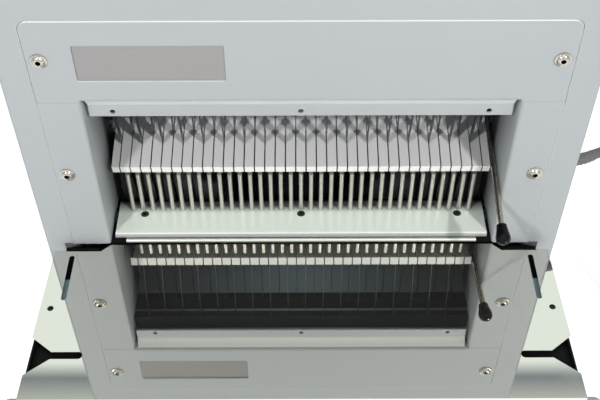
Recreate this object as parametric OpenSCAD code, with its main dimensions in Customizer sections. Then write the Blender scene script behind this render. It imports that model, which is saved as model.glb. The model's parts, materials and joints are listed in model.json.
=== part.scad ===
// Bench bread slicer: two crossing blade frames, a hold-down comb on a lever,
// a finger pusher, a polished outfeed table and a coil of mains cord.
// Heights in the sizes below are measured from the table top, depths from the front face.

/* [Blades] */
// Number of blades, half of them in each frame
blade_count = 36; // [28:2:44]
// Distance between neighbouring blades
blade_pitch = 12; // [11:0.5:13]
// Blade thickness
blade_t = 0.6; // [0.5:0.1:1]
// Blade depth, front to back
blade_depth = 10; // [8:1:12]
// Lean of the front row towards the viewer, degrees
front_tilt = 16; // [14:1:17]
// Lean of the rear row towards the viewer, degrees
rear_tilt = 4; // [2:1:5]
// Throw of the eccentrics, half the blade stroke
crank_throw = 8; // [5:1:9]

/* [Body] */
// Depth of the body behind the front face
body_d = 520; // [500:5:600]
// Height of the front face above the table top
face_h = 400; // [380:5:460]
// Height of the table top above the bench
table_z = 300; // [290:5:340]
// Width of the face beside the covers
face_margin = 33; // [28:1:40]
// Depth of the turned edge of the face
face_return = 20; // [15:1:30]
// Height of the rubber feet
foot_h = 25; // [15:1:27]

/* [Outlet] */
// Width of a column cover
column_w = 45; // [44:1:60]
// Height of the seam between the columns and the top cover
seam_z = 222; // [216:1:228]
// Height of the upper edge of the top cover
cover_top = 324; // [310:1:350]
// Corner radius of the covers
cover_r = 11; // [6:1:20]
// Depth of the column walls
wall_depth = 100; // [60:1:101]

/* [Hold-down comb] */
// Length of the comb plate from its shaft to its front edge
comb_len = 112.5; // [105:0.5:116]
// Rise of the comb plate to the back, degrees
comb_tilt = 13.3; // [11:0.1:15]
// Width of the slits in the comb
slit_w = 1.5; // [1.4:0.1:2.4]
// Length of the lever from the shaft to the knob
lever_len = 192; // [185:1:220]
// Fall of the lever to the front, degrees
lever_tilt = 10; // [8:1:12]
// Diameter of the lever rod
lever_d = 6.5; // [4:0.5:6.5]
// Diameter of the lever knob
knob_d = 17; // [13:1:18]

/* [Pusher] */
// Diameter of the pusher fingers
finger_d = 5; // [4:0.5:6]
// Depth of the fingers at the forward end of their travel
finger_y = 45.6; // [44:0.1:48]

/* [Outfeed] */
// Reach of the table in front of the face
table_reach = 215; // [205:1:240]
// Width of the table beyond the covers
table_margin = 20.5; // [16:0.5:24]
// Width of the long slots in the table
slot_w = 6.2; // [4:0.2:7]
// Depth of the rear edge of the outfeed plate
outfeed_d = 50; // [49:1:56]

/* [Cord] */
// Diameter of the mains cord
cord_d = 12; // [11:0.5:12]

/* [Hidden] */
$fn = 48;

// Common sizes
over = 1;
fit = 0.05;
run = 0.35;
sheet = 2;
plate_t = 3;
seam = 0.4;

// Widths, from the blades outwards
comb_edge = 3;
comb_half = blade_count * blade_pitch / 2 + comb_edge;
side_play = 8;
outlet_half = comb_half + side_play;
cover_half = outlet_half + column_w;
body_half = cover_half + face_margin;
front_post_out = 9;
rear_post_out = 23;
rod_out = 35;
front_post_x = outlet_half + front_post_out;
rear_post_x = outlet_half + rear_post_out;
rod_x = outlet_half + rod_out;
cheek_x = cover_half;
cheek_t = 4;
panel_gap = 7;
panel_in = cheek_x + cheek_t + panel_gap;
panel_out = panel_in + sheet;

// Body heights and depths
floor_z = foot_h - table_z;
pan_z = floor_z + plate_t;
deck_d = 132;
cheek_y0 = 54;
cheek_back = 20;
cheek_y1 = body_d - cheek_back;
bend_r = 6;
hinge_out = 6;
hinge_up = 4;
hinge_y = body_d + hinge_out;
hinge_z = face_h + hinge_up;
hinge_r = 5;
pin_r = 2;
face_y = (table_reach - (hinge_y + hinge_r)) / 2;

// Blade rows: both turn about one crossing line
cross_y = 91.5;
cross_z = 38;
row_top = 181;
row_low = -112;
beam_h = 20;
beam_t = 12;
post_w = 8;
lug_drop = 44;
lug_t = 8;
lug_w = 16;
bush_r = 9;
bush_h = 24;
guide_r = 5;
guide_high = [100, 176];
guide_low = [-160, -90];
bush_high = 138;
bush_low = -125;
guide_block = 8;
guide_block_w = 14;
guide_block_d = 15;

// Drive
crank_y = 115;
crank_z = -175;
crank_r = 8;
ecc_r = 18;
ecc_t = 12;
rod_t = 10;
big_r = 25;
eye_r = 9;
eye_hole_r = 4;
rod_gap = 0.5;
front_rod_x = 158;
rear_rod_x = 118;
motor_y = 340;
motor_r = 55;
motor_x = [-110, 76];
pulley_x = [90, 106];
big_pulley_r = 42;
small_pulley_r = 20;
belt_t = 4;
belt_gap = 0.4;
rotor_r = 7;
rotor_in = 20;
rim_t = 2;
bearing_w = 18;
bearing_h = 36;

// Hold-down comb
press_y = 150;
press_z = 107;
press_r = 7;
press_top = 8.3;
comb_t = 2.5;
comb_lip = 11;
comb_tail = 14;
comb_root = 22;
hub_r = 11;
hub_w = 24;
lever_out = 3.8;
lever_x = comb_half + lever_out;
lever_hub_r = 10;
lever_hub_w = 10;
knob_len = 27;
knob_neck_r = 6;
knob_hold = 14;

// Pusher
rail_out = 13;
rail_x = outlet_half + rail_out;
rail_z = 76;
rail_r = 6;
rail_y = [102, 456];
rail_block = 10;
rail_block_h = 28;
push_y = 124;
push_d = 20;
push_h = 20;
push_bush_r = 12;
push_bush = 30;
finger_low = 8.6;
finger_bend = 4;
finger_drop = 0.5;
finger_z = rail_z - finger_drop;

// Outfeed plate, bed, crumb bar
bed_z = 8;
outfeed_y = 6;
bed_t = 2.5;
bed_y = 118;
outfeed_gap = 5;
outfeed_half = outlet_half - outfeed_gap;
outfeed_front_r = 4;
outfeed_lip = 5.3;
outfeed_screw_in = 32;
outfeed_screw_x = outfeed_half - outfeed_screw_in;
outfeed_screw_y = 39.6;
outfeed_head_r = 5.2;
outfeed_bolt_r = 2.5;
support_y = [32, 48];
bar_z = 0.3;
bar_y = 3.5;
bar_r = 2.7;
block_gap = 0.2;
bar_end = 18;
bar_half = outlet_half - bar_end;

// Covers
strip_gap = 4;
strip_half = outlet_half - strip_gap;
strip_drop = 28;
strip_fold_r = 5;
strip_low = seam_z - strip_drop;
strip_y = 12;
strip_hole_r = 3;
strip_hole_in = 25;
strip_hole_up = 6;
strip_hole_x = strip_half - strip_hole_in;
wall_notch_back = 28;
wall_notch_drop = 34;
wall_r = 4;
cover_front = 1;
screw_out = 31.5;
screw_x = outlet_half + screw_out;
screw_low = 117.6;
screw_top_in = 47.2;
screw_z = [screw_low, cover_top - screw_top_in];
head_r = 8.75;
head_core_r = 6.6;
head_flange = 1.6;
head_h = 4.4;
hex_r = 3;
bolt_r = 4;
bolt_len = 12;
bracket_t = 4;
bracket_in = 23;
bracket_out = 8;
plate_in = 2.5;
plate_up = 28;
plate_w = 149.5;
plate_h = 45;
plate_x0 = plate_in - outlet_half;
plate_z0 = seam_z + plate_up;
plate_box = [plate_x0, plate_x0 + plate_w, plate_z0, plate_z0 + plate_h];
plate_recess = 2;
plate_r = 2;
name_t = 1;
dark_gap = 11;
gap_out = 11;

// Table
table_t = 2;
table_half_w = cover_half + table_margin;
table_flare = 6;
table_half_f = table_half_w + table_flare;
tongue_gap = 0.2;
tongue_front = 3;
step_w = 10.7;
step_front = 13;
table_tongue = [outlet_half - tongue_gap, -tongue_front];
table_step = [outlet_half + step_w, -step_front];
table_fold = 20;
pan_drop = 10;
pan_front = 3;
pan_back = 0.3;
pan_wide = cover_half + gap_out - over;
side_fold = 14;
slot_in = 22;
slot_x = table_half_w - slot_in;
slot_y = [-82, -23];
hole_in = 9.5;
hole_front = 96.8;
table_hole = [table_half_w - hole_in, -hole_front];
table_hole_r = 3.6;
notch_y = -160;
notch_half = 25.5;
notch_long = 50.5;
notch_short = 20.5;
notch_x = [table_half_w - notch_long, table_half_w - notch_short, table_half_f];
notch_slot = 9;
arm_in = 37;
arm_x = outlet_half - arm_in;
arm_t = 6;
arm_root = 120;
arm_tip = 66;
arm_front = 4;
arm_foot_w = 30;
tube_back = 20;
tube_y = tube_back - table_reach;
tube_z = -50;
tube_r = 10;
tube_out = 19;
tube_half = table_half_w + tube_out;
cap_collar = 8;
cap_r = 10.6;

// Crumb tray
tray_wider = 6;
tray_half = comb_half + tray_wider;
tray_d = 262;
tray_top = -225;
tray_lip = 12;
tray_clear = 0.5;
tray_pull = [60, 14];

// Buttons
start_in = 72;
stop_in = 26;
button_x = [cheek_x - start_in, cheek_x - stop_in];
button_y = 66;
button_r = 11;
button_h = 9;
button_stem = 18;
bezel_r = 16;
bezel_h = 4;

// Lid
lid_front_gap = 2;
lid_y0 = deck_d + lid_front_gap;
lid_h = 24;
lid_r = 12;
lid_gap = 0.4;
lid_hinge_in = 95;
lid_hinge_x = panel_out - lid_hinge_in;
knuckle = 30;
leaf_h = 32;
grip_half = 70;
grip_r = 7;
grip_lift = 30;
grip_y = 28;

// Cord route: from the gland to the floor beside the body
coil_reach = 275;
coil_x = panel_out + coil_reach;
coil_y = 188;
coil_r = 80;
coil_step = 13.3;
coil_rise = 12.8;
coil_sides = 6;
cord_sides = 10;
cord_r = cord_d / 2;
gland_y = 40;
gland_z = 97;
gland_hex_r = 14;
gland_out = 20;
gland_dome_r = 11;
gland_thread_r = 9;
nut_t = 5.5;
cord_lift = 2;
cord_floor = cord_r + cord_lift - table_z;
// Steps of the route from the gland down, and from the bench to the start of the coil
hang_steps = [[-8, 0, 0], [7, 0, 0], [21, 0, 0], [41, 4, 0], [63, 13, 0], [95, 30, -5], [135, 50, -30],
    [168, 66, -85], [184, 72, -160], [190, 72, -230]];
floor_steps = [[-81, 4, 102], [-78, 2, 54], [-73.9, 1, 33.3], [-62.2, 0, 15.8], [-44.7, 0, 4.1], [-24, 0, 0],
    [-12.1, 0, 0]];
route = concat([for (p = hang_steps) [panel_out, gland_y, gland_z] + p],
    [for (p = floor_steps) [coil_x, coil_y - coil_r, cord_floor] + p]);

// Vents
vent_len = 60;
vent_w = 5;
vent_step = 14;
vent_count = 6;
vent_y = 310;
vent_z = -210;

// Colours
coat = [0.77, 0.79, 0.81];
steel = [0.72, 0.72, 0.70];
dark = [0.10, 0.10, 0.11];
pale = [0.84, 0.87, 0.83];

// Helpers

module at_face() translate([0, face_y, table_z]) children();

module both_sides() {
    children();
    mirror([1, 0, 0]) children();
}

module box_at(x0, x1, y0, y1, z0, z1) {
    translate([x0, y0, z0]) cube([x1 - x0, y1 - y0, z1 - z0]);
}

module x_rod(x0, x1, r) {
    translate([x0, 0, 0]) rotate([0, 90, 0]) cylinder(h = x1 - x0, r = r);
}

module y_rod(y0, y1, r) {
    translate([0, y1, 0]) rotate([90, 0, 0]) cylinder(h = y1 - y0, r = r);
}

// A drawing in width and height, made solid from depth y0 to y1
module face_sheet(y0, y1) {
    translate([0, y1, 0]) rotate([90, 0, 0]) linear_extrude(y1 - y0) children();
}

// A drawing in depth and height, made solid from x0 to x1
module side_sheet(x0, x1) {
    translate([x0, 0, 0]) rotate([90, 0, 90]) linear_extrude(x1 - x0) children();
}

module round_box(x0, x1, y0, y1, r) {
    translate([x0 + r, y0]) square([x1 - x0 - 2 * r, y1 - y0]);
    translate([x0, y0 + r]) square([x1 - x0, y1 - y0 - 2 * r]);
    for (x = [x0 + r, x1 - r], y = [y0 + r, y1 - r]) translate([x, y]) circle(r);
}

module round_top(half, y0, y1, r) {
    translate([-half, y0]) square([2 * half, y1 - y0 - r]);
    translate([r - half, y0]) square([2 * half - 2 * r, y1 - y0]);
    for (x = [r - half, half - r]) translate([x, y1 - r]) circle(r);
}

module slot_2d(len, w) {
    translate([0, -w / 2]) square([len, w]);
    circle(w / 2);
    translate([len, 0]) circle(w / 2);
}

module vents() {
    for (i = [0 : vent_count - 1]) translate([0, i * vent_step]) slot_2d(vent_len, vent_w);
}

module row(tilt) {
    translate([0, cross_y, cross_z]) rotate([tilt, 0, 0]) children();
}

module press_frame() {
    translate([0, press_y, press_z]) rotate([comb_tilt, 0, 0]) children();
}

// Body

module base_pan() {
    color(coat) at_face() difference() {
        union() {
            box_at(-panel_in, panel_in, sheet, body_d - sheet, floor_z, pan_z);
            both_sides() box_at(panel_in - plate_t, panel_in, sheet, body_d - sheet, pan_z, pan_z + foot_h);
        }
        foot_spots() cylinder(h = 2 * foot_h, r = bolt_r + fit, center = true);
    }
}

module foot_spots() {
    both_sides() for (y = [2 * foot_h, body_d - 2 * foot_h]) {
        translate([panel_in - 2 * foot_h, y, floor_z]) children();
    }
}

module feet() {
    color(dark) at_face() foot_spots() {
        translate([0, 0, -foot_h]) cylinder(h = foot_h, r1 = foot_h * 0.68, r2 = foot_h * 0.8);
        cylinder(h = bolt_len, r = bolt_r);
    }
}

module side_sheet_panel(x0) {
    side_sheet(x0, x0 + sheet) difference() {
        translate([sheet, floor_z]) square([body_d - 2 * sheet, face_h - floor_z]);
        translate([0, face_h - bend_r]) square([face_return + fit, 2 * bend_r]);
        translate([vent_y, vent_z]) vents();
    }
}

module side_panel_left() {
    color(coat) at_face() side_sheet_panel(-panel_out);
}

module side_panel_right() {
    color(coat) at_face() difference() {
        side_sheet_panel(panel_in);
        translate([0, gland_y, gland_z]) x_rod(panel_in - over, panel_out + over, gland_thread_r + fit);
    }
}

// The face is a shallow dish: a front sheet with turned edges at the sides and the top
module front_fascia() {
    color(coat) at_face() difference() {
        intersection() {
            translate([0, 0, floor_z]) linear_extrude(face_h - floor_z) {
                round_box(-body_half, body_half, 0, 2 * face_return, bend_r);
            }
            side_sheet(-body_half, body_half) {
                translate([0, floor_z]) square([face_return, face_h - floor_z - bend_r]);
                translate([bend_r, floor_z]) square([face_return - bend_r, face_h - floor_z]);
                translate([bend_r, face_h - bend_r]) circle(bend_r);
            }
        }
        intersection() {
            translate([0, 0, floor_z - over]) linear_extrude(face_h - floor_z + over - sheet) {
                round_box(sheet - body_half, body_half - sheet, sheet, 2 * face_return, bend_r - sheet);
            }
            side_sheet(-body_half, body_half) {
                translate([0, floor_z - over]) square([2 * face_return, face_h - floor_z - bend_r + over]);
                translate([bend_r, floor_z]) square([2 * face_return, face_h - floor_z - sheet]);
                translate([bend_r, face_h - bend_r]) circle(bend_r - sheet);
            }
        }
        face_sheet(-over, 2 * sheet) round_top(cover_half + seam, -dark_gap, cover_top + seam,
            cover_r + seam);
        box_at(-cover_half - gap_out, cover_half + gap_out, -over, 2 * sheet, -dark_gap, 0);
        box_at(-tray_half - over, tray_half + over, -over, 2 * sheet, pan_z, tray_top + plate_t);
    }
}

module rear_panel() {
    color(coat) at_face() face_sheet(body_d - sheet, body_d) difference() {
        translate([-panel_out, floor_z]) square([2 * panel_out, face_h - floor_z]);
        for (x = [-2 * vent_len, vent_len]) translate([x, vent_z]) vents();
    }
}

module top_deck() {
    color(coat) at_face() difference() {
        union() {
            box_at(-panel_out, panel_out, face_return, deck_d, face_h, face_h + sheet);
            box_at(fit - cheek_x, cheek_x - fit, deck_d - sheet, deck_d, face_h - face_return,
                face_h + sheet);
            box_at(-panel_in, panel_in, bend_r, face_return + over, face_h - 2 * sheet, face_h - sheet);
            box_at(-panel_in, panel_in, face_return, face_return + sheet, face_h - 2 * sheet,
                face_h + sheet);
        }
        for (x = button_x) translate([x, button_y, face_h]) {
            cylinder(h = 2 * button_h, r = button_r + run, center = true);
        }
    }
}

module side_frames() {
    color(steel) at_face() both_sides() {
        box_at(cheek_x, cheek_x + cheek_t, cheek_y0, cheek_y1, pan_z, face_h - 2 * sheet);
    }
}

// Covers

module top_cover() {
    color(coat) at_face() difference() {
        union() {
            face_sheet(-cover_front, sheet) difference() {
                round_top(cover_half - seam, seam_z, cover_top, cover_r);
                translate([-outlet_half, seam_z - over]) square([2 * outlet_half, strip_fold_r + over]);
            }
            translate([0, strip_fold_r - cover_front, seam_z + strip_fold_r]) intersection() {
                difference() {
                    x_rod(-outlet_half, outlet_half, strip_fold_r);
                    x_rod(-outlet_half - over, outlet_half + over, strip_fold_r - sheet);
                }
                box_at(-outlet_half, outlet_half, -strip_fold_r, fit, -strip_fold_r, fit);
            }
            box_at(-outlet_half, outlet_half, strip_fold_r - cover_front, strip_y, seam_z, seam_z + sheet);
            box_at(-strip_half, strip_half, strip_y - sheet, strip_y, strip_low, seam_z + sheet);
        }
        face_sheet(-cover_front - over, plate_recess - cover_front) {
            round_box(plate_box[0], plate_box[1], plate_box[2], plate_box[3], plate_r);
        }
        for (x = [-strip_hole_x, 0, strip_hole_x]) translate([x, 0, strip_low + strip_hole_up]) {
            y_rod(strip_fold_r, strip_y + over, strip_hole_r);
        }
        both_sides() translate([screw_x, 0, screw_z[1]]) y_rod(-2 * over, sheet + over, bolt_r + fit);
    }
}

module nameplate() {
    color(steel) at_face() face_sheet(plate_recess - cover_front - name_t, plate_recess - cover_front) {
        round_box(plate_box[0] + fit, plate_box[1] - fit, plate_box[2] + fit, plate_box[3] - fit,
            plate_r - fit);
    }
}

module column_cover() {
    difference() {
        linear_extrude(seam_z - seam) {
            translate([outlet_half + wall_r, -cover_front]) square([column_w - wall_r - seam, plate_t]);
            translate([outlet_half, wall_r - cover_front]) square([plate_t, wall_depth - wall_r]);
            intersection() {
                translate([outlet_half, -cover_front]) square(wall_r);
                translate([outlet_half + wall_r, wall_r - cover_front]) difference() {
                    circle(wall_r);
                    circle(wall_r - plate_t);
                }
            }
        }
        box_at(outlet_half - over, outlet_half + 2 * plate_t, wall_notch_back, wall_depth + over,
            seam_z - wall_notch_drop, seam_z);
        translate([screw_x, 0, screw_z[0]]) y_rod(-2 * over, sheet + over, bolt_r + fit);
    }
}

module column_cover_left() {
    color(coat) at_face() mirror([1, 0, 0]) column_cover();
}

module column_cover_right() {
    color(coat) at_face() column_cover();
}

module screw_spots() {
    both_sides() for (z = screw_z) translate([screw_x, -cover_front, z]) children();
}

module cover_screws() {
    color(steel) at_face() screw_spots() difference() {
        union() {
            y_rod(-head_flange, 0, head_r);
            intersection() {
                y_rod(-head_h, 0, head_core_r);
                translate([0, head_r - head_h, 0]) sphere(head_r);
            }
            y_rod(-over, bolt_len, bolt_r);
        }
        y_rod(-head_h - over, -head_flange, hex_r, $fn = 6);
    }
}

module cover_brackets() {
    color(dark) at_face() difference() {
        both_sides() {
            box_at(cover_half - bracket_in, cover_half + bracket_out, sheet, sheet + bracket_t, 0,
                cover_top);
        }
        screw_spots() y_rod(0, bolt_len + over, bolt_r + fit);
    }
}

// Outfeed plate and table

module outfeed_spots() {
    for (x = [-outfeed_screw_x, 0, outfeed_screw_x]) translate([x, outfeed_screw_y, bed_z]) children();
}

module outfeed_plate() {
    color(pale) at_face() difference() {
        union() {
            box_at(-outfeed_half, outfeed_half, outfeed_y + outfeed_front_r, outfeed_d, bed_z - bed_t, bed_z);
            translate([0, outfeed_y + outfeed_front_r, bed_z - outfeed_front_r]) intersection() {
                difference() {
                    x_rod(-outfeed_half, outfeed_half, outfeed_front_r);
                    x_rod(-outfeed_half - over, outfeed_half + over, outfeed_front_r - bed_t);
                }
                box_at(-outfeed_half, outfeed_half, -outfeed_front_r, 0, 0, outfeed_front_r);
            }
            box_at(-outfeed_half, outfeed_half, outfeed_y, outfeed_y + bed_t, bed_z - outfeed_lip,
                bed_z - outfeed_front_r);
        }
        outfeed_spots() {
            translate([0, 0, -bed_t]) cylinder(h = bed_t, r1 = outfeed_bolt_r, r2 = outfeed_head_r + fit);
            cylinder(h = 4 * bed_t, r = outfeed_bolt_r + fit, center = true);
        }
    }
}

module outfeed_screws() {
    color(dark) at_face() outfeed_spots() difference() {
        union() {
            translate([0, 0, -bed_t]) cylinder(h = bed_t, r1 = outfeed_bolt_r - fit, r2 = outfeed_head_r);
            translate([0, 0, -bolt_len]) cylinder(h = bolt_len - over, r = outfeed_bolt_r);
        }
        translate([0, 0, -over]) cylinder(h = bed_t, r = outfeed_bolt_r * 0.7, $fn = 6);
    }
}

module outfeed_beam() {
    color(dark) at_face() difference() {
        box_at(-outlet_half, outlet_half, support_y[0], support_y[1], 0, bed_z - bed_t);
        outfeed_spots() cylinder(h = 4 * bolt_len, r = outfeed_bolt_r + fit, center = true);
    }
}

module crumb_bar() {
    color(steel) at_face() {
        translate([0, bar_y, bar_z]) x_rod(-bar_half, bar_half, bar_r);
    }
}

module crumb_bar_ends() {
    color(dark) at_face() both_sides() {
        box_at(bar_half, outlet_half, bar_y - bar_r, support_y[0], bar_z - bar_r,
            bed_z - outfeed_lip - block_gap);
    }
}

// Half width of the table at a depth: it flares to the front
function table_edge(y) = table_half_w - table_flare * (y + step_front) / (table_reach - step_front);

module table_notch() {
    translate([notch_x[0], notch_y]) slot_2d(notch_long, notch_slot);
    polygon([[notch_x[1], notch_y - notch_slot / 2], [notch_x[2], notch_y - notch_half],
        [notch_x[2], notch_y + notch_half], [notch_x[1], notch_y + notch_slot / 2]]);
}

// A strip along the slanted side of the table, from y0 to y1, inset from its edge
module side_strip(y0, y1, inset) {
    polygon([[table_edge(y0) - inset - table_t, y0], [table_edge(y0) - inset, y0],
        [table_edge(y1) - inset, y1], [table_edge(y1) - inset - table_t, y1]]);
}

module table_outline() {
    difference() {
        polygon([[-table_half_f, -table_reach], [table_half_f, -table_reach], [table_half_w, table_step[1]],
            [table_step[0], table_step[1]], [table_tongue[0], table_tongue[1]],
            [-table_tongue[0], table_tongue[1]], [-table_step[0], table_step[1]],
            [-table_half_w, table_step[1]]]);
        both_sides() {
            translate([slot_x, slot_y[0]]) rotate([0, 0, 90]) slot_2d(slot_y[1] - slot_y[0], slot_w);
            translate(table_hole) circle(table_hole_r);
            table_notch();
        }
    }
}

module outfeed_table() {
    color(steel) at_face() {
        translate([0, 0, -table_t]) linear_extrude(table_t) table_outline();
        box_at(-table_half_f, table_half_f, -table_reach, table_t - table_reach, -table_fold, 0);
        both_sides() translate([0, 0, -side_fold]) linear_extrude(side_fold - table_t) difference() {
            side_strip(-table_reach, table_step[1], 0);
            table_notch();
        }
    }
}

// A black sheet under the table, seen through its slots and notches
module table_pan() {
    front = pan_front - table_reach;
    back = -step_front - pan_front;
    inset = table_t + fit;
    color(dark) at_face() {
        translate([0, 0, -pan_drop - table_t]) linear_extrude(table_t) polygon([
            [inset - table_edge(front), front], [table_edge(front) - inset, front],
            [table_edge(back) - inset, back], [inset - table_edge(back), back]]);
        box_at(-pan_wide, pan_wide, back - over, -pan_back, -pan_drop - table_t, -pan_drop);
        both_sides() translate([0, 0, -pan_drop]) linear_extrude(pan_drop - table_t) {
            side_strip(front, back, inset);
        }
    }
}

module table_arms() {
    color(coat) at_face() both_sides() difference() {
        union() {
            side_sheet(arm_x, arm_x + arm_t) polygon([[0, -pan_drop - table_t],
                [arm_front - table_reach, -pan_drop - table_t],
                [arm_front - table_reach, -arm_tip], [0, -arm_root]]);
            box_at(arm_x - arm_foot_w / 2, arm_x + arm_foot_w / 2, -arm_t, 0, -arm_root,
                -pan_drop - table_t);
        }
        translate([0, tube_y, tube_z]) x_rod(0, body_half, tube_r + fit);
    }
}

module table_tube() {
    color(steel) at_face() translate([0, tube_y, tube_z]) difference() {
        x_rod(-tube_half, tube_half, tube_r);
        x_rod(-tube_half - over, tube_half + over, tube_r - sheet);
    }
}

module tube_caps() {
    color(coat) at_face() translate([0, tube_y, tube_z]) both_sides() {
        x_rod(tube_half - 2 * cap_collar, tube_half, tube_r - sheet - fit);
        x_rod(tube_half, tube_half + cap_collar, cap_r);
        translate([tube_half + cap_collar, 0, 0]) intersection() {
            sphere(cap_r);
            x_rod(0, cap_r, cap_r);
        }
    }
}

module infeed_bed() {
    color(pale) at_face() {
        box_at(-cheek_x, cheek_x, bed_y, cheek_y1, bed_z - bed_t, bed_z);
        box_at(-cheek_x, cheek_x, cheek_y1 - bed_t, cheek_y1, -table_fold, bed_z);
        box_at(-comb_half, comb_half, bed_y, bed_y + bed_t, 0, bed_z);
    }
}

// Blade frames and their guides

module blade_frame(tilt, post_x, lug_x) {
    row(tilt) difference() {
        union() {
            for (z = [row_top, row_low]) {
                box_at(-post_x, post_x, -beam_t / 2, beam_t / 2, z - beam_h / 2, z + beam_h / 2);
            }
            both_sides() {
                box_at(post_x - post_w / 2, post_x + post_w / 2, -beam_t / 2, beam_t / 2,
                    row_low - beam_h / 2, row_top + beam_h / 2);
                for (z = [bush_high, bush_low]) {
                    box_at(post_x, rod_x, -guide_r, guide_r, z - bush_h / 4, z + bush_h / 4);
                    translate([rod_x, 0, z]) cylinder(h = bush_h, r = bush_r, center = true);
                }
                box_at(lug_x - lug_t, lug_x, -lug_w / 2, lug_w / 2, row_low - lug_drop - lug_w / 2,
                    row_low);
            }
        }
        both_sides() for (z = [bush_high, bush_low]) translate([rod_x, 0, z]) {
            cylinder(h = bush_h + 2 * over, r = guide_r + fit, center = true);
        }
    }
}

// A row of blades from first_x, every second blade position
module blades(tilt, first_x) {
    row(tilt) for (i = [0 : blade_count / 2 - 1]) translate([first_x + 2 * i * blade_pitch, 0, 0]) {
        box_at(-blade_t / 2, blade_t / 2, -blade_depth / 2, blade_depth / 2,
            row_low + beam_h / 2, row_top - beam_h / 2);
    }
}

first_blade_x = (1 - blade_count) * blade_pitch / 2;

module front_blade_frame() {
    color(dark) at_face() blade_frame(front_tilt, front_post_x, front_rod_x);
}

module front_blades() {
    color(steel) at_face() blades(front_tilt, first_blade_x);
}

module rear_blade_frame() {
    color(dark) at_face() blade_frame(rear_tilt, rear_post_x, rear_rod_x);
}

module rear_blades() {
    color(steel) at_face() blades(rear_tilt, first_blade_x + blade_pitch);
}

module guide_rods() {
    color(steel) at_face() for (tilt = [front_tilt, rear_tilt]) row(tilt) both_sides() {
        for (g = [guide_high, guide_low]) translate([rod_x, 0, g[0]]) cylinder(h = g[1] - g[0],
            r = guide_r);
    }
}

module rod_brackets() {
    color(dark) at_face() for (tilt = [front_tilt, rear_tilt]) row(tilt) both_sides() {
        for (g = [guide_high, guide_low], z = [g[0], g[1] - guide_block]) difference() {
            box_at(rod_x - guide_block_w / 2, cheek_x, -guide_block_d / 2, guide_block_d / 2, z,
                z + guide_block);
            translate([rod_x, 0, z - over]) cylinder(h = guide_block + 2 * over, r = guide_r + fit);
        }
    }
}

// Drive

module shaft_bearings() {
    color(dark) at_face() both_sides() {
        for (p = [[crank_y, crank_z, crank_r], [press_y, press_z, press_r]]) translate([0, p[0], p[1]]) {
            difference() {
                box_at(cheek_x - bearing_w, cheek_x, -bearing_h / 2, bearing_h / 2, -bearing_h / 2,
                    bearing_h / 2);
                x_rod(cheek_x - bearing_w - over, cheek_x + over, p[2] + fit);
            }
        }
    }
}

module crankshaft() {
    color(steel) at_face() translate([0, crank_y, crank_z]) {
        x_rod(over - cheek_x, cheek_x - over, crank_r);
        both_sides() {
            translate([0, crank_throw, 0]) x_rod(front_rod_x - over, front_rod_x + ecc_t, ecc_r);
            translate([0, -crank_throw, 0]) x_rod(rear_rod_x - over, rear_rod_x + ecc_t, ecc_r);
        }
    }
}

module pulley(r, bore) {
    difference() {
        union() {
            x_rod(pulley_x[0], pulley_x[1], r);
            x_rod(pulley_x[0], pulley_x[0] + rim_t, r + rim_t);
            x_rod(pulley_x[1] - rim_t, pulley_x[1], r + rim_t);
        }
        x_rod(pulley_x[0] - over, pulley_x[1] + over, bore + fit);
    }
}

module crank_pulley() {
    color(dark) at_face() translate([0, crank_y, crank_z]) pulley(big_pulley_r, crank_r);
}

// A rod from an eccentric to the lug of its frame, in depth and height
module con_rod(y0, tilt, x0) {
    drop = lug_drop - row_low;
    dy = cross_y + drop * sin(tilt) - y0;
    dz = cross_z - drop * cos(tilt) - crank_z;
    length = sqrt(dy * dy + dz * dz);
    translate([0, y0, crank_z]) rotate([atan2(-dy, dz), 0, 0]) side_sheet(x0 + rod_gap,
        x0 + rod_gap + rod_t) {
        difference() {
            union() {
                circle(big_r);
                translate([0, length]) circle(eye_r);
                translate([-eye_r * 0.7, 0]) square([eye_r * 1.4, length]);
            }
            circle(ecc_r + fit);
            translate([0, length]) circle(eye_hole_r);
        }
    }
}

module front_rods() {
    color(steel) at_face() both_sides() con_rod(crank_y + crank_throw, front_tilt, front_rod_x);
}

module rear_rods() {
    color(steel) at_face() both_sides() con_rod(crank_y - crank_throw, rear_tilt, rear_rod_x);
}

module motor() {
    color(coat) at_face() translate([0, motor_y, crank_z]) difference() {
        union() {
            x_rod(motor_x[0], motor_x[1], motor_r - plate_t);
            x_rod(motor_x[0] + motor_r / 2, motor_x[1] - motor_r / 2, motor_r);
            box_at(motor_x[0] + motor_r / 2, motor_x[1] - motor_r / 2, -motor_r, motor_r,
                -motor_r - sheet, -motor_r / 2);
            box_at(motor_x[0] + motor_r, motor_x[1] - motor_r, -motor_r / 2, motor_r / 2, 0,
                motor_r + face_return);
        }
        x_rod(motor_x[1] - rotor_in - over, motor_x[1] + over, rotor_r + fit);
    }
}

module motor_mount() {
    color(dark) at_face() translate([0, motor_y, 0]) difference() {
        box_at(motor_x[0], motor_x[1], -motor_r - plate_t, motor_r + plate_t, pan_z,
            crank_z - motor_r - sheet);
        box_at(motor_x[0] - over, motor_x[1] + over, -motor_r, motor_r, pan_z - over,
            crank_z - motor_r - sheet - plate_t);
    }
}

module motor_rotor() {
    color(steel) at_face() translate([0, motor_y, crank_z]) {
        x_rod(motor_x[1] - rotor_in, pulley_x[1] + over, rotor_r);
        x_rod(pulley_x[0], pulley_x[1], small_pulley_r);
        x_rod(pulley_x[0], pulley_x[0] + rim_t, small_pulley_r + rim_t);
        x_rod(pulley_x[1] - rim_t, pulley_x[1], small_pulley_r + rim_t);
    }
}

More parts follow.
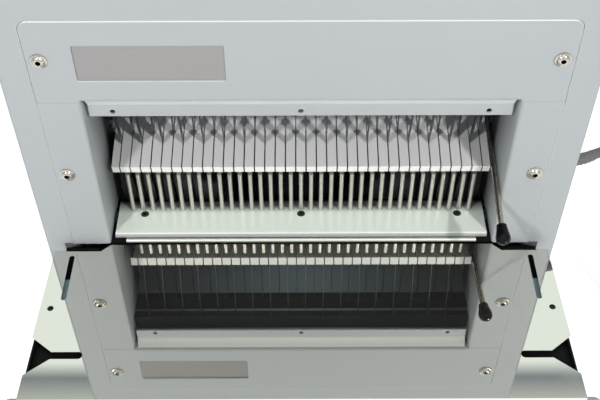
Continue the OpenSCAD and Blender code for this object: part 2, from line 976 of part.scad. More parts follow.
// Outline of the belt: an arc round each pulley, joined by the two straight runs
belt_steps = 24;
function belt_points(r1, r2, dist) = let(a = acos((r1 - r2) / dist), n = belt_steps) concat(
    [for (i = [0 : n]) r1 * [cos(a + (360 - 2 * a) * i / n), sin(a + (360 - 2 * a) * i / n)]],
    [for (i = [0 : n]) [dist, 0] + r2 * [cos(2 * a * i / n - a), sin(2 * a * i / n - a)]]);

module drive_belt() {
    r1 = (big_pulley_r + belt_gap) / cos(180 / belt_steps);
    r2 = (small_pulley_r + belt_gap) / cos(90 / belt_steps);
    dist = motor_y - crank_y;
    color(dark) at_face() translate([0, crank_y, crank_z]) {
        side_sheet(pulley_x[0] + rim_t + belt_gap, pulley_x[1] - rim_t - belt_gap) difference() {
            polygon(belt_points(r1 + belt_t, r2 + belt_t, dist));
            polygon(belt_points(r1, r2, dist));
        }
    }
}

// Hold-down comb with its lever

module press_plate() {
    color(steel) at_face() press_frame() difference() {
        union() {
            box_at(-comb_half, comb_half, -comb_len, comb_tail, press_top - comb_t, press_top);
            box_at(-comb_half, comb_half, -comb_len, comb_t - comb_len, press_top - comb_lip, press_top);
            x_rod(-hub_w / 2, hub_w / 2, hub_r);
            both_sides() x_rod(comb_half - hub_w, comb_half, hub_r);
        }
        x_rod(-comb_half - over, comb_half + over, press_r + fit);
        for (i = [0 : blade_count - 1]) translate([first_blade_x + i * blade_pitch, 0, 0]) {
            box_at(-slit_w / 2, slit_w / 2, -comb_len - over, -comb_root,
                press_top - comb_lip - over, press_top + over);
        }
    }
}

module press_shaft() {
    color(steel) at_face() translate([0, press_y, press_z]) x_rod(over - cheek_x, cheek_x - over, press_r);
}

module press_lever() {
    color(steel) at_face() translate([lever_x, press_y, press_z]) rotate([lever_tilt, 0, 0]) difference() {
        union() {
            x_rod(fit - lever_x + comb_half, lever_hub_w, lever_hub_r);
            y_rod(-lever_len - knob_hold, 0, lever_d / 2);
        }
        x_rod(-lever_hub_w, lever_hub_w + over, press_r + fit);
    }
}

module lever_knob() {
    color(dark) at_face() translate([lever_x, press_y, press_z]) rotate([lever_tilt, 0, 0]) {
        translate([0, -lever_len, 0]) rotate([90, 0, 0]) difference() {
            union() {
                cylinder(h = knob_len - knob_d * 0.6, r1 = knob_neck_r, r2 = knob_d / 2);
                translate([0, 0, knob_len - knob_d * 0.6]) cylinder(h = knob_d * 0.1, r = knob_d / 2);
                translate([0, 0, knob_len - knob_d / 2]) sphere(knob_d / 2);
            }
            translate([0, 0, -over]) cylinder(h = knob_hold + over, r = lever_d / 2 + fit);
        }
    }
}

// Pusher

module pusher_beam() {
    color(steel) at_face() difference() {
        union() {
            box_at(-rail_x + over, rail_x - over, push_y, push_y + push_d, rail_z - push_h / 2,
                rail_z + push_h / 2);
            both_sides() translate([rail_x, 0, rail_z]) {
                y_rod(push_y + (push_d - push_bush) / 2, push_y + (push_d + push_bush) / 2, push_bush_r);
            }
        }
        both_sides() translate([rail_x, 0, rail_z]) y_rod(push_y - push_bush,
            push_y + 2 * push_bush, rail_r + fit);
    }
}

module finger() {
    low = finger_low + finger_d / 2;
    high = finger_z - finger_bend;
    translate([0, finger_y, low]) {
        sphere(finger_d / 2);
        cylinder(h = high - low, r = finger_d / 2);
    }
    translate([0, finger_y + finger_bend, high]) rotate([90, 0, -90]) rotate_extrude(angle = 90) {
        translate([finger_bend, 0]) circle(finger_d / 2);
    }
    translate([0, 0, finger_z]) y_rod(finger_y + finger_bend, push_y, finger_d / 2);
}

module pusher_fingers() {
    color(steel) at_face() for (i = [1 : blade_count - 1]) {
        translate([first_blade_x + (i - 0.5) * blade_pitch, 0, 0]) finger();
    }
}

module pusher_rails() {
    color(steel) at_face() both_sides() translate([rail_x, 0, rail_z]) y_rod(rail_y[0], rail_y[1], rail_r);
}

module rail_brackets() {
    color(dark) at_face() both_sides() for (y = [rail_y[0], rail_y[1] - rail_block]) difference() {
        box_at(rail_x - push_bush_r, cheek_x, y, y + rail_block, rail_z - rail_block_h / 2,
            rail_z + rail_block_h / 2);
        translate([rail_x, 0, rail_z]) y_rod(y - over, y + rail_block + over, rail_r + fit);
    }
}

// Crumb tray

module crumb_tray() {
    low = pan_z + tray_clear;
    color(steel) at_face() {
        difference() {
            box_at(-tray_half, tray_half, -tray_clear - sheet, tray_d, low, tray_top);
            box_at(sheet - tray_half, tray_half - sheet, sheet, tray_d - sheet, low + sheet,
                tray_top + over);
        }
        box_at(-tray_half - tray_lip, tray_half + tray_lip, -tray_clear - sheet, -tray_clear, low,
            tray_top + tray_lip);
        translate([0, -tray_clear - sheet, (low + tray_top) / 2]) {
            box_at(-tray_pull[0], tray_pull[0], -tray_pull[1], 0, -sheet, sheet);
        }
    }
}

// Buttons

module button_spots(i) {
    translate([button_x[i], button_y, face_h + sheet]) children();
}

module button() {
    translate([0, 0, -button_stem]) cylinder(h = button_stem + button_h - over, r = button_r);
    translate([0, 0, button_h - over]) cylinder(h = over, r1 = button_r, r2 = button_r - over);
}

module start_button() {
    color([0.1, 0.5, 0.2]) at_face() button_spots(0) button();
}

module stop_button() {
    color([0.7, 0.1, 0.1]) at_face() button_spots(1) button();
}

module button_bezels() {
    color(dark) at_face() for (i = [0, 1]) button_spots(i) difference() {
        cylinder(h = bezel_h, r1 = bezel_r, r2 = bezel_r - over);
        translate([0, 0, -over]) cylinder(h = bezel_h + 2 * over, r = button_r + run);
    }
}

// Lid and its hinges

module hinge_spots() {
    for (x = [-lid_hinge_x, lid_hinge_x]) translate([x, hinge_y, hinge_z]) children();
}

module hinge_knuckles() {
    color(steel) at_face() hinge_spots() {
        x_rod(-knuckle / 2, knuckle / 2, hinge_r);
        x_rod(-knuckle, knuckle, pin_r);
        box_at(-knuckle / 2, knuckle / 2, body_d - hinge_y, body_d - hinge_y + sheet, -leaf_h, 0);
        box_at(-knuckle / 2, knuckle / 2, body_d - hinge_y, 0, -sheet, 0);
    }
}

module lid() {
    low = face_h + lid_gap;
    high = face_h + sheet + lid_h;
    color(coat) at_face() difference() {
        union() {
            translate([0, 0, low]) linear_extrude(high - low) difference() {
                round_box(-panel_out, panel_out, lid_y0, body_d - sheet, lid_r);
                round_box(sheet - panel_out, panel_out - sheet, lid_y0 + sheet, body_d - 2 * sheet,
                    lid_r - sheet);
            }
            translate([0, 0, high - sheet]) linear_extrude(sheet) {
                round_box(-panel_out, panel_out, lid_y0, body_d - sheet, lid_r);
            }
            hinge_spots() for (x = [-knuckle, knuckle / 2 + run]) {
                x_rod(x, x + knuckle / 2 - run, hinge_r);
                box_at(x, x + knuckle / 2 - run, body_d - 1.5 * sheet - hinge_y, 0, 0, sheet);
                box_at(x, x + knuckle / 2 - run, body_d - 1.5 * sheet - hinge_y, body_d - hinge_y,
                    0, lid_h / 2);
            }
        }
        hinge_spots() x_rod(-2 * knuckle, 2 * knuckle, pin_r + fit);
        hinge_spots() x_rod(-knuckle / 2 - run, knuckle / 2 + run, hinge_r + run);
    }
}

module lid_handle() {
    color(dark) at_face() translate([0, lid_y0 + grip_y, face_h + sheet + lid_h]) {
        translate([0, 0, grip_lift]) x_rod(-grip_half, grip_half, grip_r);
        both_sides() translate([grip_half - grip_r, 0, 0]) cylinder(h = grip_lift, r = grip_r * 0.8);
        both_sides() translate([grip_half, 0, grip_lift]) sphere(grip_r);
    }
}

// Cord

module cable_gland() {
    color(dark) at_face() translate([0, gland_y, gland_z]) difference() {
        union() {
            x_rod(panel_in - nut_t, panel_in, gland_hex_r, $fn = 6);
            x_rod(panel_in - nut_t, panel_out + over, gland_thread_r);
            x_rod(panel_out, panel_out + gland_out * 0.4, gland_hex_r, $fn = 6);
            x_rod(panel_out, panel_out + gland_out * 0.7, gland_dome_r);
            translate([panel_out + gland_out * 0.7, 0, 0]) rotate([0, 90, 0]) {
                cylinder(h = gland_out * 0.3, r1 = gland_dome_r, r2 = gland_dome_r * 0.8);
            }
        }
        x_rod(panel_in - gland_out, panel_out + 2 * gland_out, cord_r + run);
    }
}

// A round tube swept along points; each ring is square to the run of the tube
function unit(v) = v / norm(v);
function heading(p, i) = unit(p[min(i + 1, len(p) - 1)] - p[max(i - 1, 0)]);
function ring(p, i, r, n, up) = let(t = heading(p, i), a = unit(cross(t, up)), b = cross(a, t))
    [for (k = [0 : n - 1]) p[i] + r * (cos(360 * k / n) * a + sin(360 * k / n) * b)];

module tube(p, r, n, up) {
    m = len(p);
    points = [for (i = [0 : m - 1]) each ring(p, i, r, n, up)];
    skin = [for (i = [0 : m - 2], k = [0 : n - 1])
        [i * n + k, i * n + (k + 1) % n, (i + 1) * n + (k + 1) % n, (i + 1) * n + k]];
    start = [[for (k = [0 : n - 1]) n - 1 - k]];
    finish = [[for (k = [0 : n - 1]) (m - 1) * n + k]];
    polyhedron(points = points, faces = concat(skin, start, finish), convexity = 6);
}

// A smooth run through the route points
function mix_points(a, b, c, d, s) = 0.5 * (2 * b + (c - a) * s + (2 * a - 5 * b + 4 * c - d) * s * s
    + (3 * b - a - 3 * c + d) * s * s * s);
function smooth(p, n) = concat([for (i = [0 : len(p) - 2], k = [0 : n - 1])
    mix_points(p[max(i - 1, 0)], p[i], p[i + 1], p[min(i + 2, len(p) - 1)], k / n)], [p[len(p) - 1]]);

// Loops of the coil: two turns inwards on the floor, then two turns outwards on top of them
coil_turns = 2;
coil_soft = 0.05;
coil_rings = 24;
function coil_rad(u) = coil_r - coil_step * (coil_turns - sqrt((u - coil_turns) ^ 2 + coil_soft ^ 2));
function coil_lift(s) = s * s * (3 - 2 * s);
function coil_high(u) = coil_lift(max(0, min(1, 2 * (u - coil_turns) + 0.5)));
function coil_point(u) = [coil_x + coil_rad(u) * sin(360 * u), coil_y - coil_rad(u) * cos(360 * u),
    cord_floor + coil_rise * coil_high(u)];
coil_path = [for (i = [0 : 2 * coil_turns * coil_rings]) coil_point(i / coil_rings)];
coil_lead = 12;
tail_steps = 4;
coil_tail = [for (d = [1 : tail_steps]) coil_point(2 * coil_turns) + [d * cord_d, 0, 0]];
coil_all = concat([coil_point(0) - [coil_lead, 0, 0]], coil_path, coil_tail);

// Least distance of the coil to itself, taken between points more than a third of a turn apart
coil_least = min([for (i = [0 : len(coil_all) - 1], j = [0 : len(coil_all) - 1]) if (j > i + coil_rings / 3)
    norm(coil_all[i] - coil_all[j]) - cord_d]);
echo(coil_least = coil_least);

module mains_cord() {
    color([0.3, 0.3, 0.31]) at_face() tube(smooth(route, 4), cord_r, cord_sides, [0, 1, 0]);
}

module cord_coil() {
    color([0.3, 0.3, 0.31]) at_face() tube(coil_all, cord_r, coil_sides, [0, 0, 1]);
}

tie_w = 10;
tie_t = 1.5;
tie_play = 3;
tie_in = coil_r - coil_turns * coil_step - cord_r - tie_play;
tie_out = coil_r + cord_r + tie_play;
tie_turn = 60;

// A strap round all the loops at the far side of the coil
module cord_tie() {
    flat_r = cord_r * cos(180 / coil_sides);
    low = cord_floor - flat_r - run;
    high = cord_floor + coil_rise + flat_r + run;
    color(dark) at_face() translate([coil_x, coil_y, 0]) rotate([0, 0, tie_turn]) {
        translate([-tie_w / 2, 0, 0]) rotate([90, 0, 90]) linear_extrude(tie_w) difference() {
            translate([tie_in - tie_t, low - tie_t]) square([tie_out - tie_in + 2 * tie_t,
                high - low + 2 * tie_t]);
            translate([tie_in, low]) square([tie_out - tie_in, high - low]);
        }
    }
}

plug_len = 38;
plug_r = 19;
plug_neck = 26;
blade_pin_r = 2.4;
blade_pin = 19;
pin_apart = 19;

module mains_plug() {
    end = coil_point(2 * coil_turns);
    color(dark) at_face() translate([end[0] + tail_steps * cord_d - bolt_len, end[1],
        end[2]]) difference() {
        union() {
            rotate([0, 90, 0]) cylinder(h = plug_neck, r1 = cord_r + sheet, r2 = plug_r * 0.7);
            x_rod(plug_neck, plug_neck + plug_len, plug_r);
            for (y = [-pin_apart / 2, pin_apart / 2]) translate([0, y, 0]) {
                x_rod(plug_neck + plug_len - over, plug_neck + plug_len + blade_pin, blade_pin_r);
            }
        }
        x_rod(-over, bolt_len + run, cord_r + run);
    }
}

base_pan();
side_panel_left();
side_panel_right();
front_fascia();
rear_panel();
top_deck();
side_frames();
top_cover();
column_cover_left();
column_cover_right();
nameplate();
cover_screws();
cover_brackets();
feet();
outfeed_plate();
outfeed_beam();
outfeed_screws();
crumb_bar();
crumb_bar_ends();
outfeed_table();
table_pan();
table_arms();
table_tube();
tube_caps();
infeed_bed();
guide_rods();
rod_brackets();
pusher_rails();
rail_brackets();
shaft_bearings();
motor();
motor_mount();
drive_belt();
button_bezels();
hinge_knuckles();
lid();
lid_handle();
press_plate();
press_shaft();
press_lever();
lever_knob();
pusher_beam();
pusher_fingers();
front_blade_frame();
front_blades();
rear_blade_frame();
rear_blades();
crankshaft();
crank_pulley();
front_rods();
rear_rods();
motor_rotor();
crumb_tray();
start_button();
stop_button();
cable_gland();
mains_cord();
cord_coil();
cord_tie();
mains_plug();
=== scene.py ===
# %% [markdown]
# # A bench bread slicer
# The machine comes in as a packed set of solids, one for each real piece, already in metres and in
# place. It could be modelled again from nothing, but then its joints and its looks would drift apart.
# So the solids stay the skeleton, and this lesson gives them edges, finishes, light and a camera.

import json
from math import cos, pi, radians, sin, sqrt

import bpy
from mathutils import Matrix, Vector


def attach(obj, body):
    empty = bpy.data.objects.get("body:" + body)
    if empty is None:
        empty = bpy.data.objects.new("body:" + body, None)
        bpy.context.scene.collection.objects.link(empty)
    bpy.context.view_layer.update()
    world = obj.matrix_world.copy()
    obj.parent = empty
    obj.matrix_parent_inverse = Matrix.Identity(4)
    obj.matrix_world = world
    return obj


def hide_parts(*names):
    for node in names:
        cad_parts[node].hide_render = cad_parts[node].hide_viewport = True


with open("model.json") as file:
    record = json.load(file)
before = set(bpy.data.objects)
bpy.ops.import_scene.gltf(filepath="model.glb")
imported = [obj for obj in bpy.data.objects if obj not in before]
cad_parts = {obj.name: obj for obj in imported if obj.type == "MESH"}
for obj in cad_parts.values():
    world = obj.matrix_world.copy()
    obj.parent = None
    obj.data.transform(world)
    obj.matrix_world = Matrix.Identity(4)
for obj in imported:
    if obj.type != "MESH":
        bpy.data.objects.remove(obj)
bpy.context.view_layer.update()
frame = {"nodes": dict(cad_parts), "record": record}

# %% [markdown]
# ## A ruler in millimetres
# The machine was drawn in millimetres, with depths measured back from its front face and heights up
# from the table. Writing metres all over a script invites slips. One small function takes those three
# workshop numbers and gives the point in Blender's metres, so that pieces are placed in millimetres.
# Outlines are drawn in millimetres too. Only numbers that go straight to an operator are in metres.

# %% Millimetres from the face and the table
FACE_Y = -158.0
TABLE_Z = 300.0


def at_face(x, y, z):
    return Vector((x, y + FACE_Y, z + TABLE_Z)) / 1000


print("front face at", round(at_face(0, 0, 0).y, 4), "table top at", round(at_face(0, 0, 0).z, 4))

# %% [markdown]
# ## The camera
# The picture looks down into the bread outlet, about 47 degrees below level, from straight in front.
# A camera can be aimed by a constraint, but plain numbers are easier to check: a place, one tilt about
# X with a trace of roll, as a hand-held photograph has, and a lens. A longer lens than usual keeps the
# upright edges of the face from leaning too much.

# %% Camera over the outfeed table
EYE_PLACE = (-0.0012, -0.908, 1.1756)
EYE_TILT, EYE_ROLL = radians(43.1), radians(-0.19)
LENS, SENSOR = 57.78, 36

scene = bpy.context.scene
eye_data = bpy.data.cameras.new("eye")
eye_data.lens = LENS
eye_data.sensor_fit = "HORIZONTAL"
eye_data.sensor_width = SENSOR
eye = bpy.data.objects.new("eye", eye_data)
scene.collection.objects.link(eye)
eye.location = EYE_PLACE
eye.rotation_euler = (Matrix.Rotation(EYE_TILT, 3, "X") @ Matrix.Rotation(EYE_ROLL, 3, "Z")).to_euler()
scene.camera = eye
print("camera at", tuple(round(v, 3) for v in eye.location))

# %% [markdown]
# ## The mains cord
# A thick grey cord leaves the right side, runs out level, sags to the bench and ends in a neat coil
# with its plug. A cord could be a swept mesh, but a curve is kinder: its points are the route, its bevel
# is the thickness, and it stays one smooth line. Half of the coil's turns lie on the other half.

# %% Cord along its route
CORD_R = 6
GLAND = Vector((285, 40, 97))
HANG = [(-8, 0, 0), (7, 0, 0), (21, 0, 0), (41, 4, 0), (63, 13, 0), (95, 30, -5), (135, 50, -30),
        (168, 66, -85), (184, 72, -160), (190, 72, -230)]
DOWN = [(-81, 4, 102), (-78, 2, 54), (-73.9, 1, 33.3), (-62.2, 0, 15.8), (-44.7, 0, 4.1), (-24, 0, 0),
        (-12.1, 0, 0)]
COIL_MID = Vector((560, 188, -292))
COIL_R, COIL_STEP, COIL_RISE, TURNS, RINGS = 80, 13.3, 12.8, 4, 24
TURN_BACK = 0.0025
TAIL, TAIL_STEPS = 12, 4


def coil_point(u):
    reach = COIL_R - COIL_STEP * (TURNS / 2 - sqrt((u - TURNS / 2) ** 2 + TURN_BACK))
    climb = min(1, max(0, 2 * u - TURNS + 0.5))
    lift = COIL_RISE * climb * climb * (3 - 2 * climb)
    return COIL_MID + Vector((reach * sin(2 * pi * u), -reach * cos(2 * pi * u), lift))


def line_through(name, points, radii):
    data = bpy.data.curves.new(name, "CURVE")
    data.dimensions = "3D"
    data.bevel_depth = 1.0
    data.bevel_resolution = 6
    data.resolution_u = 5
    data.use_fill_caps = True
    spline = data.splines.new("BEZIER")
    spline.bezier_points.add(len(points) - 1)
    for knot, point, radius in zip(spline.bezier_points, points, radii):
        knot.co = point
        knot.radius = radius
        knot.handle_left_type = knot.handle_right_type = "AUTO"
    piece = bpy.data.objects.new(name, data)
    scene.collection.objects.link(piece)
    return piece


route = [GLAND + Vector(step) for step in HANG]
route += [COIL_MID + Vector((0, -COIL_R, 0)) + Vector(step) for step in DOWN]
route += [coil_point(i / RINGS) for i in range(TURNS * RINGS + 1)]
route += [coil_point(TURNS) + Vector((TAIL * step, 0, 0)) for step in range(1, TAIL_STEPS + 1)]
route = [at_face(*point) for point in route]
cord = line_through("grey_cord", route, [CORD_R / 1000] * len(route))
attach(cord, "chassis")
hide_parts("mains_cord", "cord_coil")

# %% [markdown]
# ## The strain relief
# Where the cord leaves the gland, a soft sleeve keeps it from kinking: thick at the root and thin at the
# end, with rings so that it bends. It could be a cone, but a cone can't follow the cord. A short curve on
# the same route, with a radius at each point, gives the rings and the taper in one go.

# %% Ringed sleeve round the start of the cord
SLEEVE_FROM, SLEEVE_STEP, SLEEVE_KNOTS = 17, 1.2, 32
SLEEVE_R, SLEEVE_TAPER, TAPER_OVER, GROOVE = 7.6, 1.1, 38, 0.45
SWING_FROM, SWING = 24, 0.010


def only(piece):
    bpy.ops.object.select_all(action="DESELECT")
    piece.select_set(True)
    bpy.context.view_layer.objects.active = piece


sleeve_line, sleeve_sizes = [], []
for i in range(SLEEVE_KNOTS):
    out = SLEEVE_FROM + SLEEVE_STEP * i
    aside = SWING * max(0, out - SWING_FROM) ** 2
    taper = SLEEVE_R - SLEEVE_TAPER * (out - SLEEVE_FROM) / TAPER_OVER
    groove = GROOVE if i % 4 in (2, 3) and i > 3 else 0
    sleeve_line.append(at_face(*(GLAND + Vector((out, aside, 0)))))
    sleeve_sizes.append((taper - groove) / 1000)
sleeve = line_through("strain_relief", sleeve_line, sleeve_sizes)
sleeve.data.resolution_u = 2
only(sleeve)
bpy.ops.object.convert(target="MESH")
sleeve = bpy.context.view_layer.objects.active
bpy.ops.object.shade_smooth_by_angle(angle=radians(40))
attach(sleeve, "chassis")
print("sleeve faces", len(sleeve.data.polygons))

# %% [markdown]
# ## The air round the machine
# The machine stands in a white studio. One even white world could light it all, but it would wash out
# every shadow. So the world answers each kind of ray by itself: white where the camera looks at it, dim
# as a lamp, and for polished sheets a room, whose bright back wall ends at the edge of a greyer ceiling.

# %% World
DIM_TINT, DIM_POWER = (0.92, 0.96, 1.0, 1), 0.26
ROOM_STOPS = ((0.606, (0.58, 0.62, 0.57)), (0.642, (0.23, 0.26, 0.28)), (0.664, (0.935, 1.0, 0.94)))
ROOM_POWER = 1.24
LEAST_RISE = 0.05

scene.view_settings.view_transform = "Standard"
world = bpy.data.worlds.new("studio_air")
scene.world = world
world.use_nodes = True
air = world.node_tree
air.nodes.clear()


def air_node(kind, *values, operation=None):
    node = air.nodes.new(kind)
    if operation:
        node.operation = operation
    for socket, value in zip(node.inputs, values):
        if isinstance(value, bpy.types.NodeSocket):
            air.links.new(value, socket)
        else:
            socket.default_value = value
    return node.outputs


seen = air_node("ShaderNodeLightPath")
toward = air_node("ShaderNodeSeparateXYZ", air_node("ShaderNodeTexCoord")["Generated"])
rise = air_node("ShaderNodeMath", toward["Z"], LEAST_RISE, operation="MAXIMUM")
lean = air_node("ShaderNodeMath", toward["Y"], rise[0], operation="DIVIDE")
wall = air_node("ShaderNodeValToRGB", lean[0])
stops = wall[0].node.color_ramp.elements
stops.new(0.5)
for stop, (place, shade) in zip(stops, ROOM_STOPS):
    stop.position = place
    stop.color = (*shade, 1)
clear = air_node("ShaderNodeMath", seen["Is Camera Ray"], seen["Is Transmission Ray"], operation="MAXIMUM")
dim = air_node("ShaderNodeBackground", DIM_TINT, DIM_POWER)
room = air_node("ShaderNodeBackground", wall[0], ROOM_POWER)
white = air_node("ShaderNodeBackground", (1, 1, 1, 1), 1.0)
mirrored = air_node("ShaderNodeMixShader", seen["Is Glossy Ray"], dim[0], room[0])
shown = air_node("ShaderNodeMixShader", clear[0], mirrored[0], white[0])
air_node("ShaderNodeOutputWorld", shown[0])
print("world nodes:", len(air.nodes))

# %% [markdown]
# ## Lamps and floor
# Two lamps stand in front, left and right, as in a product photograph. Broad ones would be softer, but
# the blades throw crossed shadows on the comb, and only small lamps keep those. A broad lamp overhead
# fills the rest, and a weak cool one inside the body shows that the outlet isn't empty.

# %% Four lamps and a sheet to stand on
WARM, COOL, COLD = (1.0, 0.985, 0.96), (0.95, 0.98, 1.0), (0.74, 0.90, 1.0)
OUTLET = (0, -0.05, 0.42)
FRONT_SIZE = 0.17
FLOOR_SIZE, FLOOR_PLACE = 12, (0, 0, -0.0005)


def soft_lamp(name, place, target, size, power, colour):
    data = bpy.data.lights.new(name, "AREA")
    data.shape = "DISK"
    data.size = size
    data.energy = power
    data.color = colour
    lamp = bpy.data.objects.new(name, data)
    scene.collection.objects.link(lamp)
    lamp.location = place
    aim = Vector(target) - Vector(place)
    lamp.rotation_euler = aim.to_track_quat("-Z", "Y").to_euler()
    return lamp


soft_lamp("lamp_left", (-1.15, -1.70, 1.90), OUTLET, FRONT_SIZE, power=23, colour=WARM)
soft_lamp("lamp_right", (1.15, -1.70, 1.90), OUTLET, FRONT_SIZE, power=29.5, colour=WARM)
soft_lamp("lamp_over", (0, -0.2, 2.9), (0, 0, 0.3), size=1.8, power=14, colour=COOL)
inside = soft_lamp("lamp_inside", (0, 0.22, 0.55), (0, -0.1, 0.50), size=0.18, power=0.21, colour=COLD)
inside.visible_glossy = False

bpy.ops.object.select_all(action="DESELECT")
bpy.ops.mesh.primitive_plane_add(size=FLOOR_SIZE, location=FLOOR_PLACE)
floor = bpy.context.view_layer.objects.active
floor.name = "pale_floor"
print("lamps:", len(bpy.data.lights))

# %% [markdown]
# ## Shader sums in Python
# A finish is a small network of nodes. Wiring each sum by hand hides the idea, so a class holds one
# socket and lets Python's own signs add the Math nodes: `0.4 + 0.1 * grain` makes a node that multiplies
# and a node that adds. The reflected forms let a plain number stand first, as in `1 - mask`.

# %% A socket that can be added and multiplied
class Wire:
    def __init__(self, finish, socket):
        self.finish = finish
        self.socket = socket

    def sum(self, operation, first, second):
        return self.finish.add("ShaderNodeMath", {"operation": operation}, {0: first, 1: second})

    def __add__(self, other):
        return self.sum("ADD", self, other)

    def __radd__(self, other):
        return self.sum("ADD", other, self)

    def __sub__(self, other):
        return self.sum("SUBTRACT", self, other)

    def __rsub__(self, other):
        return self.sum("SUBTRACT", other, self)

    def __mul__(self, other):
        return self.sum("MULTIPLY", self, other)

    def __rmul__(self, other):
        return self.sum("MULTIPLY", other, self)


print("wire ready")

# %% [markdown]
# ## A finish holds its nodes
# The node editor is good for looking, but two dozen finishes built there can't share a recipe. A second
# class holds one material. It adds any node by its type, places noises by Object coordinates, so that
# they stay with the piece, and gives `share`, which says how far a point lies along one axis.

# %% A finish made of nodes
class Finish:
    def __init__(self, name, **constants):
        self.material = bpy.data.materials.new(name)
        self.material.use_nodes = True
        self.tree = self.material.node_tree
        self.shader = self.tree.nodes["Principled BSDF"]
        for socket, value in constants.items():
            self.shader.inputs[socket.replace("_", " ")].default_value = value

    def add(self, kind, settings=None, inputs=None, out=0):
        node = self.tree.nodes.new(kind)
        for key, value in (settings or {}).items():
            if key == "stops":
                for stop, (place, grey) in zip(node.color_ramp.elements, value):
                    stop.position = place
                    stop.color = (grey, grey, grey, 1)
            else:
                setattr(node, key, value)
        for key, value in (inputs or {}).items():
            self.feed(node.inputs[key], value)
        return Wire(self, node.outputs[out])

    def feed(self, socket, value):
        if isinstance(value, Wire):
            self.tree.links.new(value.socket, socket)
        else:
            socket.default_value = value

    def place(self, stretch=(1, 1, 1)):
        here = self.add("ShaderNodeTexCoord", out="Object")
        return self.add("ShaderNodeMapping", {}, {"Vector": here, "Scale": stretch})

    def noise(self, where, scale, detail=2.0, rough=0.5):
        return self.add("ShaderNodeTexNoise", {}, {"Vector": where, "Scale": scale, "Detail": detail,
                                                   "Roughness": rough})

    def share(self, where, axis, start, span):
        along = self.add("ShaderNodeSeparateXYZ", {}, {0: where}, out=axis)
        return (1 / span) * (along - start)

    def ramp(self, value, low, high, low_grey=0.0, high_grey=1.0):
        stops = [(low, low_grey), (high, high_grey)]
        return self.add("ShaderNodeValToRGB", {"stops": stops}, {"Fac": value})

    def mix(self, factor, first, second):
        first, second = ((*tone, 1) if isinstance(tone, tuple) else tone for tone in (first, second))
        return self.add("ShaderNodeMix", {"data_type": "RGBA"}, {0: factor, 6: first, 7: second}, out=2)

    def bump(self, height, depth, strength):
        normal = self.add("ShaderNodeBump", {}, {"Height": height, "Distance": depth, "Strength": strength})
        self.feed(self.shader.inputs["Normal"], normal)

    def wear(self, **sockets):
        for socket, value in sockets.items():
            self.feed(self.shader.inputs[socket.replace("_", " ")], value)
        return self.material


print("finish ready")

# %% [markdown]
# ## Powder coat
# The body and covers are sheet steel with a cool light grey powder coat: satin, almost even, with a fine
# orange-peel skin. A flat grey would look like plastic, so a slow cloud shifts the tone a little, a fine
# noise varies the gloss, and the same fine noise lifts the surface by a few hundredths of a millimetre.
# The walls of the outlet get a second version with painted shade: it fades to black inwards, for the shade
# deep in the outlet.

# %% Finish: powder coat
FACE_AT, FADE_SPAN = FACE_Y / 1000, 0.2
finishes = {}


def powder_coat(name, deep=False):
    finish = Finish(name, IOR=1.5)
    spot = finish.place()
    cloud = finish.noise(spot, scale=5, detail=3)
    peel = finish.noise(spot, scale=650, detail=2)
    dust = finish.ramp(finish.noise(spot, scale=1500, detail=1), low=0.62, high=0.78)
    tone = finish.mix(cloud, (0.428, 0.453, 0.473), (0.468, 0.493, 0.512))
    tone = finish.mix(dust * 0.10, tone, (0.66, 0.67, 0.68))
    # Painted shade: the outlet's walls fade to black inwards, for the shade that gathers there.
    if deep:
        inward = finish.share(spot, "Y", FACE_AT, FADE_SPAN)
        shade = finish.ramp(inward, low=0.06, high=0.30, low_grey=1.0, high_grey=0.42)
        depth = finish.ramp(inward, low=0.31, high=0.38, low_grey=1.0, high_grey=0.03)
        tone = finish.mix(shade * depth, (0.004, 0.004, 0.005), tone)
    finish.bump(peel, depth=0.00012, strength=0.6)
    return finish.wear(Base_Color=tone, Roughness=0.40 + 0.12 * peel + 0.05 * cloud)


finishes["coat"] = powder_coat("grey_powder_coat")
finishes["deep_coat"] = powder_coat("deep_powder_coat", deep=True)
print("coats:", list(finishes))

# %% [markdown]
# ## Steel in many polishes
# The tray and tube are satin steel, brushed one way; the table is polished to a mirror with a trace of
# haze; the screws are ground bright; the blades are dark and the lever browned; the comb and the outfeed
# plate are pale satin sheets. One recipe serves all: a noise stretched into long streaks drives the
# roughness and the tone. The plate's tone also darkens where it runs in under the fingers: painted shade.

# %% Finishes: steel
def brushed(name, dark, light, rough, spread, stretch, scratch, smudge=0.0, metal=1.0, fade=None):
    finish = Finish(name, Metallic=metal)
    streak = finish.noise(finish.place(stretch), scale=1.0, detail=4, rough=0.6)
    spot = finish.place()
    cloud = finish.noise(spot, scale=9, detail=3)
    tone = finish.mix(streak, dark, light)
    tone = finish.mix(cloud * 0.25, tone, dark)
    # Painted shade: the tone darkens towards the back, where the plate runs in under the fingers.
    if fade:
        inward = finish.share(spot, "Y", FACE_AT, FADE_SPAN)
        tone = finish.mix(finish.ramp(inward, *fade), tone, (0.01, 0.01, 0.01))
    finish.bump(streak, depth=scratch, strength=0.5)
    gloss = rough + spread * streak
    if smudge:
        hand = finish.ramp(finish.noise(spot, scale=16, detail=4, rough=0.6), low=0.52, high=0.72)
        gloss = gloss + smudge * hand
    return finish.wear(Base_Color=tone, Roughness=gloss)


